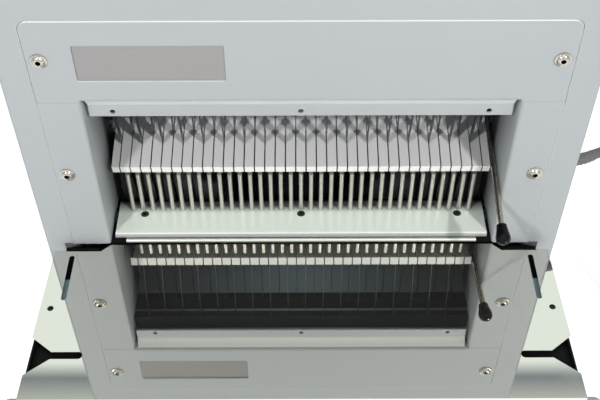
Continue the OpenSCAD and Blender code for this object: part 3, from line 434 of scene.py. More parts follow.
ACROSS = (40, 1800, 1800)
STEELS = {
    "satin_steel": dict(dark=(0.50, 0.50, 0.495), light=(0.66, 0.655, 0.64), rough=0.26, spread=0.14,
                        stretch=(25, 2200, 2200), scratch=3e-5),
    "mirror_steel": dict(dark=(0.622, 0.622, 0.585), light=(0.648, 0.648, 0.608), rough=0.012, spread=0.010,
                         stretch=(2200, 30, 30), scratch=4e-7, smudge=0.035, metal=0.982),
    "bright_steel": dict(dark=(0.40, 0.38, 0.34), light=(0.56, 0.53, 0.48), rough=0.18, spread=0.12,
                         stretch=(900, 900, 60), scratch=1e-5),
    "finger_steel": dict(dark=(0.49, 0.475, 0.435), light=(0.60, 0.58, 0.535), rough=0.30, spread=0.12,
                         stretch=(900, 900, 60), scratch=1e-5, metal=0.55),
    "blade_steel": dict(dark=(0.13, 0.13, 0.135), light=(0.20, 0.20, 0.20), rough=0.34, spread=0.12,
                        stretch=(900, 900, 30), scratch=1e-5),
    "lever_steel": dict(dark=(0.40, 0.375, 0.33), light=(0.56, 0.525, 0.46), rough=0.22, spread=0.12,
                        stretch=(900, 60, 900), scratch=1e-5),
    "plate_steel": dict(dark=(0.27, 0.263, 0.263), light=(0.36, 0.350, 0.350), rough=0.30, spread=0.12,
                        stretch=(30, 2600, 2600), scratch=3e-5, metal=0.30),
    # pale_plate darkens at its back edge: painted shade under the fingers.
    "pale_plate": dict(dark=(0.89, 0.965, 0.885), light=(0.93, 1.0, 0.925), rough=0.30, spread=0.10,
                       stretch=(1800, 40, 40), scratch=2e-5, metal=0.20, fade=(0.205, 0.30)),
    # plate_edge is a darker copy of the pale plate: painted shade on its front edge.
    "plate_edge": dict(dark=(0.37, 0.365, 0.385), light=(0.43, 0.425, 0.445), rough=0.34, spread=0.10,
                       stretch=ACROSS, scratch=1e-5, metal=0.20),
    "bar_steel": dict(dark=(0.66, 0.70, 0.61), light=(0.80, 0.84, 0.74), rough=0.28, spread=0.10,
                      stretch=ACROSS, scratch=1e-5, metal=0.70),
    # comb_lip is a brighter copy of the comb steel: a painted highlight on the lip.
    "comb_lip": dict(dark=(0.96, 0.96, 0.95), light=(1.0, 1.0, 0.99), rough=0.34, spread=0.10,
                     stretch=ACROSS, scratch=1e-5, metal=0.08),
    "comb_steel": dict(dark=(0.76, 0.76, 0.765), light=(0.83, 0.83, 0.835), rough=0.36, spread=0.12,
                       stretch=ACROSS, scratch=2e-5, metal=0.20),
}
for name, recipe in STEELS.items():
    finishes[name] = brushed(name, **recipe)
print("steel finishes:", list(STEELS))

# %% [markdown]
# ## Black paint, rubber and plastics
# Frames and brackets inside are black painted steel, the feet and belt are rubber, and the knob is a hard
# glossy black. Most are dark, so they are told apart by gloss and skin rather than by colour: each gets
# its own roughness and grain from one short recipe.

# %% Finishes: paint, rubber, plastics
def moulded(name, dark, light, rough, spread, grain, depth, **constants):
    finish = Finish(name, **constants)
    spot = finish.place()
    skin = finish.noise(spot, scale=grain, detail=3)
    cloud = finish.noise(spot, scale=22, detail=3)
    finish.bump(skin, depth, strength=0.6)
    return finish.wear(Base_Color=finish.mix(cloud, dark, light), Roughness=rough + spread * skin)


MOULDINGS = {
    "black_steel": dict(name="black_paint", dark=(0.017, 0.019, 0.022), light=(0.032, 0.036, 0.041),
                        rough=0.36, spread=0.2, grain=500, depth=8e-5),
    "rubber": dict(name="black_rubber", dark=(0.014, 0.014, 0.014), light=(0.034, 0.034, 0.033),
                   rough=0.70, spread=0.2, grain=900, depth=12e-5),
    "gloss_black": dict(name="gloss_knob", dark=(0.003, 0.003, 0.004), light=(0.007, 0.007, 0.009),
                        rough=0.05, spread=0.02, grain=300, depth=1e-5, Specular_IOR_Level=0.12),
    "soft_black": dict(name="soft_black", dark=(0.003, 0.003, 0.003), light=(0.007, 0.007, 0.008),
                       rough=0.66, spread=0.2, grain=600, depth=6e-5, Specular_IOR_Level=0.10),
    "black_plastic": dict(name="black_plastic", dark=(0.016, 0.016, 0.017), light=(0.030, 0.030, 0.031),
                          rough=0.44, spread=0.2, grain=1100, depth=7e-5),
    "grey_cord": dict(name="cord_sheath", dark=(0.130, 0.130, 0.132), light=(0.165, 0.165, 0.166),
                      rough=0.46, spread=0.16, grain=800, depth=5e-5),
    "grey_plastic": dict(name="grey_cap", dark=(0.40, 0.41, 0.42), light=(0.47, 0.48, 0.49),
                         rough=0.40, spread=0.14, grain=900, depth=5e-5),
    "green_plastic": dict(name="green_cap", dark=(0.018, 0.235, 0.055), light=(0.030, 0.290, 0.075),
                          rough=0.22, spread=0.12, grain=700, depth=3e-5),
    "red_plastic": dict(name="red_cap", dark=(0.42, 0.012, 0.012), light=(0.50, 0.022, 0.020),
                        rough=0.22, spread=0.12, grain=700, depth=3e-5),
}
for slot, recipe in MOULDINGS.items():
    finishes[slot] = moulded(**recipe)
print("moulded finishes:", list(MOULDINGS))

# %% [markdown]
# ## Two finishes with painted light
# The slanted sheet, the rim of the covers and the seams beside the columns wear a painted highlight, much
# lighter than the coat; on the slant it is lightest at the foot, for the light the polished table throws up.
# The dark pan under the table is painted shade, with one pale band painted for the light that shows through
# the slots. Extra pieces could carry those tones. A ramp along one axis does it in the finish, with no new
# edges to keep closed.

# %% Finishes: rim and pan
# Painted highlight: lighter than the coat, and lightest at the foot of the slant.
def slant_coat(low=0.50, span=0.05):
    finish = Finish("slant_coat", IOR=1.5)
    spot = finish.place()
    peel = finish.noise(spot, scale=650, detail=2)
    upward = finish.ramp(finish.share(spot, "Z", low, span), low=0.26, high=0.36)
    finish.bump(peel, depth=0.00010, strength=0.6)
    tone = finish.mix(upward, (0.93, 0.97, 0.93), (0.74, 0.78, 0.79))
    return finish.wear(Base_Color=tone, Roughness=0.36 + 0.12 * peel)


# Painted shade and light: the pan is black for the shade under the table, with a pale band painted for the
# light seen through the slots.
def pan_black(front=-0.30):
    finish = Finish("pan_black", Roughness=0.6, Specular_IOR_Level=0.10)
    spot = finish.place()
    inward = finish.share(spot, "Y", front, FADE_SPAN)
    begins = finish.ramp(inward, low=0.24, high=0.25)
    ends = finish.ramp(inward, low=0.465, high=0.475, low_grey=1.0, high_grey=0.0)
    dark = finish.mix(finish.noise(spot, scale=22, detail=3), (0.003, 0.003, 0.003), (0.007, 0.007, 0.008))
    return finish.wear(Base_Color=finish.mix(begins * ends, dark, (0.42, 0.55, 0.57)))


finishes["slant_coat"] = slant_coat()
finishes["pan_black"] = pan_black()
print("all finishes:", len(finishes))

# %% [markdown]
# ## The floor's finish
# The floor must look white to the camera and in the polished table, and still take a soft shadow. Stronger
# lamps would whiten it, but they would burn out the pale sheets too. So it is a pale matte sheet, with a
# little light of its own for those rays only.

# %% Finish: floor
FLOOR_TONE, FLOOR_GLOW = (0.86, 0.87, 0.88, 1), 0.68


def studio_floor():
    finish = Finish("studio_floor", Roughness=0.85, Base_Color=FLOOR_TONE)
    path = finish.tree.nodes.new("ShaderNodeLightPath").outputs
    kinds = ("Is Camera Ray", "Is Glossy Ray", "Is Transmission Ray")
    looks, shine, through = (Wire(finish, path[kind]) for kind in kinds)
    matte = Wire(finish, finish.shader.outputs[0])
    glow = finish.add("ShaderNodeEmission", {}, {"Color": (1, 1, 1, 1), "Strength": FLOOR_GLOW})
    lit = finish.add("ShaderNodeAddShader", {}, {0: matte, 1: glow})
    shown = finish.add("ShaderNodeMixShader", {}, {0: looks + shine + through, 1: matte, 2: lit})
    finish.feed(finish.tree.nodes["Material Output"].inputs["Surface"], shown)
    return finish.material


floor.data.materials.append(studio_floor())
print("floor finish:", floor.data.materials[0].name)

# %% [markdown]
# ## Dressing the solids
# Each solid names the finish it takes in the record. They could be dressed one by one in the material
# tab, but a loop over the record can't forget one. New pieces are dressed by the same short function.

# %% Finishes on every solid
slot_of = {part["node"]: part["material_slot"] for part in frame["record"]["subparts"]}


def dress(piece, slot):
    piece.data.materials.clear()
    piece.data.materials.append(finishes[slot])


for node, solid in frame["nodes"].items():
    solid.data.materials.clear()
    solid.data.materials.append(finishes[slot_of[node]])
cord.data.materials.append(finishes["grey_cord"])
sleeve.data.materials.append(finishes["grey_cord"])
print("dressed", len(frame["nodes"]), "solids")

# %% [markdown]
# ## Picking by place
# In the viewport you would click the points to move. A script has no mouse, but it knows where each point
# is, so a test on the point's place does the picking: every vertex that passes, or every edge whose two
# ends pass, is selected, and the mesh is left open for the next operator.

# %% Pick
def pick(piece, test, kind="VERT"):
    bpy.ops.object.mode_set(mode="OBJECT")
    only(piece)
    bpy.ops.object.mode_set(mode="EDIT")
    bpy.ops.mesh.select_mode(type=kind)
    bpy.ops.mesh.select_all(action="DESELECT")
    bpy.ops.object.mode_set(mode="OBJECT")
    points = piece.data.vertices
    if kind == "VERT":
        for point in points:
            point.select = test(point.co)
    else:
        for edge in piece.data.edges:
            edge.select = all(test(points[i].co) for i in edge.vertices)
    bpy.ops.object.mode_set(mode="EDIT")


print("picking ready")

# %% [markdown]
# ## Softened sheet metal
# A solid's edges are knife sharp, and real sheet metal never is. Changing the solids isn't allowed, so the
# main sheets are copied, merged, given small rounded edges with a Bevel modifier, and shown in place of
# the solid. Weighted normals keep the large faces flat. The top cover's outline gets a broader bevel first.

# %% Softened copies
WELD, COPLANAR = 0.000002, radians(0.6)
EDGE_SEGMENTS, EDGE_ANGLE, FLAT_WEIGHT = 3, radians(30), 100
RIM_FRONT, RIM_SIDE, RIM_TOP, RIM_WIDTH = -0.15895, 0.264, 0.612, 0.0010
SOFT_EDGES = {
    "front_fascia": 0.25, "top_cover": 0.4, "column_cover_left": 0.4, "column_cover_right": 0.4,
    "outfeed_table": 0.4, "outfeed_plate": 0.5, "press_plate": 0.35, "nameplate": 0.2,
    "side_panel_left": 0.5, "side_panel_right": 0.5, "rear_panel": 0.5, "top_deck": 0.6,
    "lid": 0.6, "crumb_tray": 0.5, "table_arms": 0.6, "base_pan": 0.5, "press_lever": 0.5,
    "crumb_bar_ends": 0.5, "cable_gland": 0.6, "hinge_knuckles": 0.3, "cord_tie": 0.3}

riders = frame["record"]["behaviour"]["bodies"]
body_of = {node: body for body, nodes in riders.items() for node in nodes}


def cover_rim(co):
    return co.y < RIM_FRONT and (abs(co.x) > RIM_SIDE or co.z > RIM_TOP)


def softened(node, width, outline=None):
    piece = bpy.data.objects.new(node + "_soft", frame["nodes"][node].data.copy())
    scene.collection.objects.link(piece)
    only(piece)
    bpy.ops.object.mode_set(mode="EDIT")
    bpy.ops.mesh.select_all(action="SELECT")
    bpy.ops.mesh.remove_doubles(threshold=WELD)
    bpy.ops.mesh.dissolve_limited(angle_limit=COPLANAR)
    bpy.ops.object.mode_set(mode="OBJECT")
    if outline:
        pick(piece, outline, "EDGE")
        bpy.ops.mesh.bevel(offset=RIM_WIDTH, segments=EDGE_SEGMENTS)
        bpy.ops.object.mode_set(mode="OBJECT")
    edge = piece.modifiers.new("edge", "BEVEL")
    edge.width = width / 1000
    edge.segments = EDGE_SEGMENTS
    edge.limit_method = "ANGLE"
    edge.angle_limit = EDGE_ANGLE
    bpy.ops.object.modifier_apply(modifier="edge")
    bpy.ops.object.shade_smooth()
    flat = piece.modifiers.new("flat", "WEIGHTED_NORMAL")
    flat.weight = FLAT_WEIGHT
    bpy.ops.object.modifier_apply(modifier="flat")
    dress(piece, slot_of[node])
    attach(piece, body_of[node])
    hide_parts(node)
    return piece


outlines = {"top_cover": cover_rim}
soft = {node: softened(node, width, outlines.get(node)) for node, width in SOFT_EDGES.items()}
print("softened", len(soft), "pieces")

# %% [markdown]
# ## A second finish on some faces
# Some faces wear painted light and shade: the comb's lip is painted brighter than its sheet and the plate's
# front edge darker, the covers' rim and the seams beside the columns get a painted highlight, and a ledge of
# the face just under the table is painted black for the shade in the gap there. Each could be cut off as a
# piece of its own, but a mesh can carry several materials: a test on a face's direction and place says which
# it wears.

# %% Own finishes and second finishes
FRONTWARD, SIDEWAYS, UPWARD, HALF_UP = -0.55, 0.3, 0.3, 0.25
SEAM_IN, SEAM_OUT = 0.268, 0.276
LEDGE_LOW, LEDGE_HIGH = 0.284, 0.293
RIM_LOW = 0.53
OWN_FINISH = {
    "column_cover_left": "deep_coat", "column_cover_right": "deep_coat", "press_plate": "comb_steel",
    "nameplate": "plate_steel", "press_lever": "lever_steel", "crumb_bar_ends": "soft_black",
    # The motor is painted black for the shade inside the body, seen between the fingers.
    "table_pan": "pan_black", "crumb_bar": "bar_steel", "motor": "black_steel"}


def at_front(face):
    return face.normal.y < FRONTWARD


# Seam faces beside the columns get a painted highlight.
def in_seam(face):
    return abs(face.normal.x) > SIDEWAYS and SEAM_IN < abs(face.center.x) < SEAM_OUT


# Rim faces of the top cover get a painted highlight.
def on_rim(face):
    return in_seam(face) or (face.normal.z > HALF_UP and face.center.z > RIM_LOW)


# Ledge faces under the table are painted black: painted shade in the gap below the columns.
def on_ledge(face):
    return face.normal.z > UPWARD and LEDGE_LOW < face.center.z < LEDGE_HIGH


for node, finish in OWN_FINISH.items():
    soft.get(node, frame["nodes"][node]).data.materials[0] = finishes[finish]
second_finish = [("press_plate", "comb_lip", at_front), ("outfeed_plate", "plate_edge", at_front),
                 ("top_cover", "slant_coat", on_rim), ("column_cover_left", "slant_coat", in_seam),
                 ("column_cover_right", "slant_coat", in_seam), ("front_fascia", "slant_coat", in_seam),
                 ("front_fascia", "soft_black", on_ledge)]
for node, finish, test in second_finish:
    sheet = soft[node].data
    sheet.materials.append(finishes[finish])
    for face in sheet.polygons:
        if test(face):
            face.material_index = len(sheet.materials) - 1
print("own finishes", len(OWN_FINISH), "second finishes", len(second_finish))

# %% [markdown]
# ## One piece at a time
# New pieces all go the same way: start from a primitive, shape it in edit mode, close the mesh with its
# normals outward, and set it in place. Those calls could be written out for each piece, but one that is
# forgotten leaves a hole or a dark face. Short functions keep them together. A nudge moves picked points.

# %% Begin, close, set down, nudge
def begin(name, add, **settings):
    bpy.ops.object.select_all(action="DESELECT")
    add(**settings)
    piece = bpy.context.view_layer.objects.active
    piece.name = name
    bpy.ops.object.mode_set(mode="EDIT")
    bpy.ops.mesh.select_all(action="SELECT")
    return piece


def close_mesh(angle, weld=None):
    bpy.ops.mesh.select_all(action="SELECT")
    if weld:
        bpy.ops.mesh.remove_doubles(threshold=weld)
    bpy.ops.mesh.normals_make_consistent(inside=False)
    bpy.ops.object.mode_set(mode="OBJECT")
    bpy.ops.object.shade_smooth_by_angle(angle=radians(angle))


def set_down(piece, place, turn=(0, 0, 0)):
    piece.location = place
    piece.rotation_euler = turn
    only(piece)
    bpy.ops.object.transform_apply(location=True, rotation=True, scale=True)


def nudge(piece, test, step):
    pick(piece, test)
    bpy.ops.transform.translate(value=step)
    bpy.ops.object.mode_set(mode="OBJECT")


print("piece tools ready")

# %% [markdown]
# ## The outfeed plate's hidden edge, the sunk nameplate and the cover's slant
# The fingers stand over the back edge of the pale plate, so its copy is pulled a little further in, and
# the bare nameplate is sunk a little deeper, so that the edge of its recess throws a line of shadow. Below
# the cover the sheet leans back to the hanging strip. A plane could stand in for it, but a sheet needs
# thickness and a soft edge: the plane is stretched, extruded, bevelled and tipped back.

# %% Plate edge, nameplate and slant
PLATE_PULL, PLATE_BACK = 0.011, 0.003
NAME_SINK = 0.0005
SLANT_W, SLANT_H, SLANT_T, SLANT_EDGE = 0.446, 0.0222, 0.0012, 0.0002
SLANT_PLACE, SLANT_LEAN = (0, 5.1, 217.6), 33

back = max(point.co.y for point in soft["outfeed_plate"].data.vertices)
nudge(soft["outfeed_plate"], lambda co: co.y > back - PLATE_BACK, (0, PLATE_PULL, 0))
front = min(point.co.y for point in soft["nameplate"].data.vertices)
nudge(soft["nameplate"], lambda co: co.y < front + NAME_SINK, (0, NAME_SINK, 0))

slant = begin("cover_slant", bpy.ops.mesh.primitive_plane_add, size=1)
bpy.ops.transform.resize(value=(SLANT_W, SLANT_H, 1), center_override=(0, 0, 0))
bpy.ops.mesh.extrude_region_move(TRANSFORM_OT_translate={"value": (0, 0, -SLANT_T)})
bpy.ops.mesh.select_all(action="SELECT")
bpy.ops.mesh.normals_make_consistent(inside=False)
bpy.ops.mesh.bevel(offset=SLANT_EDGE, segments=2)
close_mesh(angle=50)
set_down(slant, at_face(*SLANT_PLACE), (radians(90 + SLANT_LEAN), 0, 0))
dress(slant, "coat")
# The slant wears the painted highlight, lightest at its foot.
slant.data.materials[0] = finishes["slant_coat"]
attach(slant, "chassis")
print("plate pulled back, slant faces", len(slant.data.polygons))

# %% [markdown]
# ## A lathe for round pieces
# Knobs, feet, buttons and the plug are turned shapes. A cylinder with a bevel comes close, but a turned
# piece is best drawn as half an outline. One vertex is pushed along the outline by extruding, and Spin
# sweeps that line round the axis. The piece is then tipped and set in place, and the move is applied.

# %% Outline, spin, repeat and fit
SPIN_WELD = 0.000005


def lathe(name, outline, sides, angle=35):
    piece = begin(name, bpy.ops.mesh.primitive_plane_add, size=0.001)
    bpy.ops.mesh.merge(type="CENTER")
    radius, height = outline[0]
    bpy.ops.transform.translate(value=(radius / 1000, 0, height / 1000))
    for next_radius, next_height in outline[1:]:
        step = ((next_radius - radius) / 1000, 0, (next_height - height) / 1000)
        bpy.ops.mesh.extrude_region_move(TRANSFORM_OT_translate={"value": step})
        radius, height = next_radius, next_height
    bpy.ops.mesh.select_all(action="SELECT")
    bpy.ops.mesh.spin(steps=sides, angle=2 * pi, center=(0, 0, 0), axis=(0, 0, 1))
    close_mesh(angle, weld=SPIN_WELD)
    return piece


def turned(name, outline, sides, place, turn=(0, 0, 0), angle=35):
    piece = lathe(name, outline, sides, angle)
    set_down(piece, at_face(*place), turn)
    return piece


def repeated(first, count):
    pieces = [first]
    for number in range(2, count + 1):
        twin = bpy.data.objects.new(first.name[:-1] + str(number), first.data.copy())
        scene.collection.objects.link(twin)
        pieces.append(twin)
    return pieces


def fitted(piece, slot, body, *nodes, finish=None):
    dress(piece, slot)
    if finish:
        piece.data.materials[0] = finishes[finish]
    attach(piece, body)
    if nodes:
        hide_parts(*nodes)
    return piece


print("lathe ready")

# %% [markdown]
# ## The lever knob
# The knob is a glossy black drop: a narrow collar at the lever, a slow swell, a round end. A sphere pulled
# long would bulge in the wrong place, so the outline is drawn point by point and spun. It hangs on the
# lever, which falls ten degrees to the front, and turns with the hold-down comb.

# %% Glossy knob
LEVER_X, SHAFT_Y, SHAFT_Z, LEVER_LEN, LEVER_FALL = 222.8, 150, 107, 192, 10
DROP = [(0.0, 0.0), (5.2, 0.0), (5.9, 0.5), (6.1, 1.6), (6.0, 2.7), (6.3, 4.9), (6.9, 8.0), (7.6, 11.1),
        (8.1, 13.8), (8.35, 16.0), (8.3, 18.0), (7.8, 20.1), (6.8, 21.9), (5.2, 23.1), (3.0, 23.8),
        (0.0, 24.0)]

lever = Matrix.Rotation(radians(LEVER_FALL), 3, "X") @ Vector((0, -LEVER_LEN, 0))
knob = turned("drop_knob", DROP, sides=40, place=(LEVER_X, SHAFT_Y + lever.y, SHAFT_Z + lever.z),
              turn=(radians(90 + LEVER_FALL), 0, 0), angle=60)
fitted(knob, "gloss_black", body_of["lever_knob"], "lever_knob")
print("knob faces", len(knob.data.polygons))

# %% [markdown]
# ## A recipe for screw heads
# The covers are held by button-head screws with a broad flange and a hexagon socket. Cutting the socket
# with a boolean leaves poor faces round it. Here a circle is extruded outwards ring by ring for the dome
# and capped underneath, a hexagon is pushed down for the socket, and the two are bridged on top.

# %% A screw head from a hexagon and a circle
SAME = 1e-6


def ring_step(radius, next_radius, drop):
    bpy.ops.mesh.extrude_region_move(TRANSFORM_OT_translate={"value": (0, 0, drop / 1000)})
    scale = next_radius / radius
    bpy.ops.transform.resize(value=(scale, scale, 1), center_override=(0, 0, 0))


def socket_head(name, hexagon, depth, rings, sides=24):
    inner, top = rings[0][0] / 1000, rings[0][1] / 1000
    head = begin(name, bpy.ops.mesh.primitive_circle_add, vertices=sides, radius=inner, location=(0, 0, 0))
    bpy.ops.transform.translate(value=(0, 0, top))
    for (radius, height), (next_radius, next_height) in zip(rings, rings[1:]):
        ring_step(radius, next_radius, next_height - height)
    bpy.ops.mesh.edge_face_add()
    bpy.ops.mesh.select_all(action="DESELECT")
    bpy.ops.mesh.primitive_circle_add(vertices=6, radius=hexagon / 1000, location=(0, 0, top))
    bpy.ops.mesh.extrude_region_move(TRANSFORM_OT_translate={"value": (0, 0, -depth / 1000)})
    bpy.ops.mesh.edge_face_add()
    limit = inner + 10 * SAME
    pick(head, lambda co: abs(co.z - top) < SAME and co.xy.length < limit, "EDGE")
    bpy.ops.mesh.bridge_edge_loops()
    bpy.ops.mesh.select_mode(type="VERT")
    close_mesh(angle=40)
    return head


print("screw recipe ready")

# %% [markdown]
# ## Flanged screws
# Four of them hold the covers. The head is modelled once, tipped to the front, copied with a mesh of its
# own for each place, and set down. A linked copy would be lighter, but then one screw couldn't be changed
# without the rest.

# %% Four flanged screws
SCREW_X, SCREW_Y, SCREW_HEIGHTS = 258.5, -1, (117.6, 276.8)
BUTTON_RINGS = [(3.5, 4.3), (4.6, 4.05), (5.6, 3.4), (6.3, 2.5), (6.6, 1.75), (6.9, 1.55), (8.2, 1.5),
                (8.6, 1.3), (8.75, 0.9), (8.7, 0.2), (8.5, 0.0)]

screw_places = [(side * SCREW_X, SCREW_Y, height) for side in (-1, 1) for height in SCREW_HEIGHTS]
first_screw = socket_head("flanged_screw_1", hexagon=3.0, depth=2.6, rings=BUTTON_RINGS)
set_down(first_screw, (0, 0, 0), (radians(90), 0, 0))
flanged = repeated(first_screw, len(screw_places))
for screw, place in zip(flanged, screw_places):
    set_down(screw, at_face(*place))
    fitted(screw, "bright_steel", "chassis", "cover_screws")
print("flanged screws", len(flanged))

# %% [markdown]
# ## Panel screws
# Each side panel is held by six small button screws. Plain domes would do from afar, but a close view shows
# the sockets. So they are the same recipe with smaller rings, modelled once and copied, and the heads are
# tipped to the left or to the right as they are set on the sheet.

# %% Twelve small screws
PANEL_X, PANEL_DEPTHS, PANEL_HEIGHTS = 285, (45, 250, 495), (-258, 368)
SMALL_RINGS = [(2.3, 2.7), (3.1, 2.5), (3.9, 2.0), (4.5, 1.3), (4.75, 0.6), (4.8, 0.0)]

panel_places = [(side * PANEL_X, y, z) for side in (-1, 1) for y in PANEL_DEPTHS for z in PANEL_HEIGHTS]
small_screw = socket_head("panel_screw_1", hexagon=1.7, depth=1.6, rings=SMALL_RINGS, sides=20)
panel_screws = repeated(small_screw, len(panel_places))
for screw, place in zip(panel_screws, panel_places):
    set_down(screw, at_face(*place), (0, radians(90 if place[0] > 0 else -90), 0))
    fitted(screw, "bright_steel", "chassis")
print("panel screws", len(panel_screws))

# %% [markdown]
# ## Countersunk screws in the outfeed plate
# Three dark countersunk screws hold the pale plate. They could be dark discs, but a disc has no depth. The
# same recipe with flat rings lays the head level with the sheet, and only the socket goes down. A thin step
# at the rim makes the dark line that the eye expects round a sunk screw.

# %% Sunk screws
SUNK_ROW, SUNK_Y, SUNK_Z = (-190, 0, 190), 39.6, 8
SUNK_RINGS = [(3.2, 0.0), (4.4, 0.0), (4.75, -0.12), (4.95, -0.5), (4.4, -1.2), (2.6, -2.4)]

first_sunk = socket_head("sunk_screw_1", hexagon=2.2, depth=1.6, rings=SUNK_RINGS)
sunk = repeated(first_sunk, len(SUNK_ROW))
for screw, x in zip(sunk, SUNK_ROW):
    set_down(screw, at_face(x, SUNK_Y, SUNK_Z))
    fitted(screw, "black_steel", "chassis", "outfeed_screws")
print("sunk screws", len(sunk))

# %% [markdown]
# ## Toothed blades
# Each frame holds eighteen thin band blades with a saw edge. Drawing every tooth would be slow, so one tooth
# is drawn: a small plate with its back edge split and the new point pulled out. Array modifiers repeat it
# along the blade and across the frame, and Solidify gives the strip its thickness of 0.6 mm.

# %% One tooth, then eighteen blades
TOOTH, STRIP, STRIP_SHIFT, TOOTH_POINT = 0.0065, 0.0086, -0.0007, 0.0014
TEETH, BLADES, BLADE_STEP, BLADE_T = 42, 18, 0.024, 0.0006
CROSS_Y, CROSS_Z, BLADE_BELOW = 91.5, 38, 102
ROW_WELD = 0.00001


def in_a_row(piece, key, count, step, weld=False):
    pattern = piece.modifiers.new(key, "ARRAY")
    pattern.count = count
    pattern.use_relative_offset = False
    pattern.use_constant_offset = True
    pattern.constant_offset_displace = step
    pattern.use_merge_vertices = weld
    pattern.merge_threshold = ROW_WELD
    bpy.ops.object.modifier_apply(modifier=key)


def saw_row(name, first_x, tilt, node):
    row = begin(name, bpy.ops.mesh.primitive_plane_add, size=1)
    bpy.ops.transform.resize(value=(TOOTH, STRIP, 1), center_override=(0, 0, 0))
    bpy.ops.transform.translate(value=(TOOTH / 2, STRIP_SHIFT, 0))
    pick(row, lambda co: co.y > 0, "EDGE")
    bpy.ops.mesh.subdivide(number_cuts=1)
    nudge(row, lambda co: abs(co.x - TOOTH / 2) < SAME, (0, TOOTH_POINT, 0))
    set_down(row, (0, 0, 0), (0, radians(-90), 0))
    in_a_row(row, "teeth", TEETH, (0, 0, TOOTH), weld=True)
    in_a_row(row, "blades", BLADES, (BLADE_STEP, 0, 0))
    sheet = row.modifiers.new("sheet", "SOLIDIFY")
    sheet.thickness = BLADE_T
    sheet.offset = 0
    bpy.ops.object.modifier_apply(modifier="sheet")
    bpy.ops.object.shade_flat()
    foot = Matrix.Rotation(radians(tilt), 3, "X") @ Vector((0, 0, -BLADE_BELOW))
    set_down(row, at_face(first_x, CROSS_Y + foot.y, CROSS_Z + foot.z), (radians(tilt), 0, 0))
    return fitted(row, "bright_steel", body_of[node], node, finish="blade_steel")


front_saws = saw_row("front_saw_blades", first_x=-210, tilt=16, node="front_blades")
rear_saws = saw_row("rear_saw_blades", first_x=-198, tilt=4, node="rear_blades")
print("saw faces", len(front_saws.data.polygons) + len(rear_saws.data.polygons))

# %% [markdown]
# ## Bent fingers
# The pusher's thirty-five fingers are rods bent down at the front, with rounded tips. A curve would do, but
# one rod made by hand is cleaner: a circle is extruded down and drawn in to a round tip by three rings,
# then its upper end is turned through the bend by Spin and extruded back. An Array repeats it, one finger
# between every two blades.

# %% One finger, then thirty-five
FINGER_R, FINGER_DROP, FINGER_BEND, FINGER_BACK = 0.0025, 0.0604, 0.004, 0.0744
TIP_RINGS = ((2.5, 2.165, -1.25), (2.165, 1.25, -0.915), (1.25, 0.3, -0.32))
FINGERS, FINGER_STEP, FINGER_PLACE = 35, 0.012, (-204, 45.6, 71.5)

fingers = begin("bent_fingers", bpy.ops.mesh.primitive_circle_add, vertices=14, radius=FINGER_R)
bpy.ops.mesh.extrude_region_move(TRANSFORM_OT_translate={"value": (0, 0, -FINGER_DROP)})
for ring in TIP_RINGS:
    ring_step(*ring)
bpy.ops.mesh.merge(type="CENTER")
pick(fingers, lambda co: abs(co.z) < SAME)
bpy.ops.mesh.spin(steps=6, angle=pi / 2, center=(0, FINGER_BEND, 0), axis=(-1, 0, 0))
bpy.ops.mesh.extrude_region_move(TRANSFORM_OT_translate={"value": (0, FINGER_BACK, 0)})
bpy.ops.mesh.edge_face_add()
close_mesh(angle=50, weld=WELD)
in_a_row(fingers, "row", FINGERS, (FINGER_STEP, 0, 0))
set_down(fingers, at_face(*FINGER_PLACE))
fitted(fingers, "bright_steel", body_of["pusher_fingers"], "pusher_fingers", finish="finger_steel")
print("finger faces", len(fingers.data.polygons))

# %% [markdown]
# ## Feet
# The rubber feet have two grooves, so that they give a little. A cylinder with two cuts would need
# booleans. The lathe makes the grooves as part of the outline, and three copies follow the first foot.

# %% Four turned feet
FOOT_PLACES = [(-233, 50, -TABLE_Z), (233, 50, -TABLE_Z), (-233, 470, -TABLE_Z), (233, 470, -TABLE_Z)]
FOOT_LINE = [(0, 0), (15.4, 0), (16.6, 0.7), (17.0, 2.0), (17.7, 7.2), (16.9, 7.9), (16.9, 9.3), (18.0, 10.0),
             (18.7, 15.6), (17.8, 16.3), (17.8, 17.7), (19.1, 18.4), (19.8, 23.8), (19.3, 25.0), (0, 25.0)]

ringed = repeated(lathe("ringed_foot_1", FOOT_LINE, sides=32), len(FOOT_PLACES))
for foot, place in zip(ringed, FOOT_PLACES):
    set_down(foot, at_face(*place))
    fitted(foot, "rubber", "chassis", "feet")
print("feet", len(ringed))

# %% [markdown]
# ## Buttons and bezels
# The push buttons have a dished top, and each sits in a ring that keeps it from being pressed by accident.
# Both are turned shapes, so the lathe makes them from one outline each. A closed outline, whose last point
# is its first, gives the ring. The caps ride on bodies of their own, and the rings stay on the deck.

# %% Turned caps and rings
BUTTON_AT = {"start_button": (200, 66, 402), "stop_button": (246, 66, 402)}
CAP_LINE = [(0, -17), (10.9, -17), (10.9, 6.4), (10.75, 7.5), (10.2, 8.4), (9.2, 8.9), (8.4, 8.9), (7.6, 8.6),
            (5, 8.2), (0, 8.0)]
RIM_LINE = [(11.35, 0), (16, 0), (16, 1.4), (15.7, 2.8), (14.9, 3.7), (13.8, 4.0), (12.2, 4.0), (11.6, 3.7),
            (11.35, 3.0), (11.35, 0)]

for node, place in BUTTON_AT.items():
    cap = turned(node + "_cap", CAP_LINE, sides=36, place=place)
    fitted(cap, slot_of[node], body_of[node], node)
rims = repeated(lathe("button_rim_1", RIM_LINE, sides=36), len(BUTTON_AT))
for rim, place in zip(rims, BUTTON_AT.values()):
    set_down(rim, at_face(*place))
    fitted(rim, "black_plastic", "chassis", "button_bezels")
print("buttons", len(BUTTON_AT), "rims", len(rims))

# %% [markdown]
# ## Lid handle
# The handle is a waisted grip on two flared legs. It could be bent from one bar, but three turned shapes
# joined into one piece keep the outlines simple, and parts that only touch need no cutting: the legs run a
# little way into the grip.

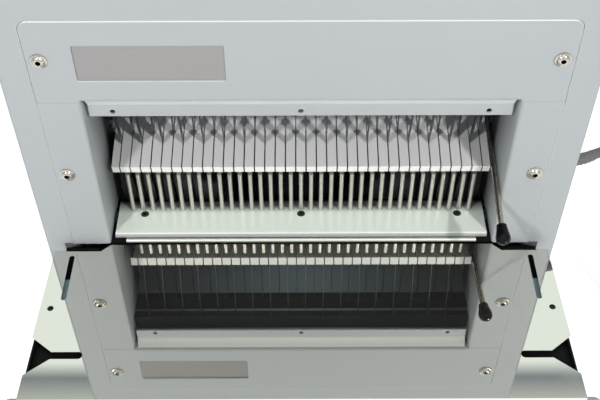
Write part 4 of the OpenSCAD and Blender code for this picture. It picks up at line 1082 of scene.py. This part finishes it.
# %% Handle
GRIP_PLACE, LEG_PLACES = (-77, 162, 456), ((-63, 162, 426), (63, 162, 426))
GRIP_LINE = [(0, 0), (2.8, 0.6), (5.0, 2.2), (6.5, 4.6), (7.0, 7.6), (7.0, 16), (6.5, 32), (6.2, 52),
             (6.1, 77), (6.2, 102), (6.5, 122), (7.0, 138), (7.0, 146.4), (6.5, 149.4), (5.0, 151.8),
             (2.8, 153.4), (0, 154)]
LEG_LINE = [(0, 0), (9.5, 0), (9.5, 1.0), (8.2, 2.2), (6.6, 4.5), (5.8, 8.0), (5.6, 13), (5.6, 27), (0, 27)]
ALONG_X = (0, radians(90), 0)


def joined(name, pieces):
    only(pieces[0])
    for piece in pieces[1:]:
        piece.select_set(True)
    bpy.ops.object.join()
    pieces[0].name = name
    return pieces[0]


grip = turned("grip", GRIP_LINE, sides=28, place=GRIP_PLACE, turn=ALONG_X)
legs = [turned("leg", LEG_LINE, sides=24, place=place) for place in LEG_PLACES]
handle = joined("lid_grip", [grip] + legs)
fitted(handle, "black_plastic", body_of["lid_handle"], "lid_handle")
print("handle faces", len(handle.data.polygons))

# %% [markdown]
# ## Mains plug
# The plug has a ribbed neck, a round body and two pins. The ribs could be cut, but in a turned outline
# they are only points.

# %% Plug
PLUG_PLACE, PIN_X, PIN_ASIDE = (596, 108, -279.2), 660, (-9.5, 9.5)
PLUG_LINE = [(0, 0), (7.9, 0), (8.0, 2.0), (7.5, 2.6), (7.5, 4.0), (8.8, 4.6), (9.0, 7.0), (8.5, 7.6),
             (8.5, 9.0), (9.8, 9.6), (10.0, 12.0), (9.5, 12.6), (9.5, 14.0), (11.0, 15.2), (13.0, 25.6),
             (17.4, 26.8), (18.5, 28.2), (18.8, 31), (18.8, 58), (18.4, 61.5), (17.2, 63.4), (15.5, 64),
             (0, 64)]
PIN_LINE = [(0, 0), (2.4, 0), (2.4, 16.5), (2.0, 18.2), (1.2, 19), (0, 19)]

plug = turned("plug_body", PLUG_LINE, sides=36, place=PLUG_PLACE, turn=ALONG_X)
pin_places = [(PIN_X, PLUG_PLACE[1] + y, PLUG_PLACE[2]) for y in PIN_ASIDE]
pins = [turned("pin", PIN_LINE, sides=16, place=place, turn=ALONG_X) for place in pin_places]
plug = joined("round_plug", [plug] + pins)
fitted(plug, "black_plastic", "chassis", "mains_plug")

# %% [markdown]
# Last, the view layer is brought up to date, so that every piece stands where it was set.

# %% Finish
bpy.context.view_layer.update()
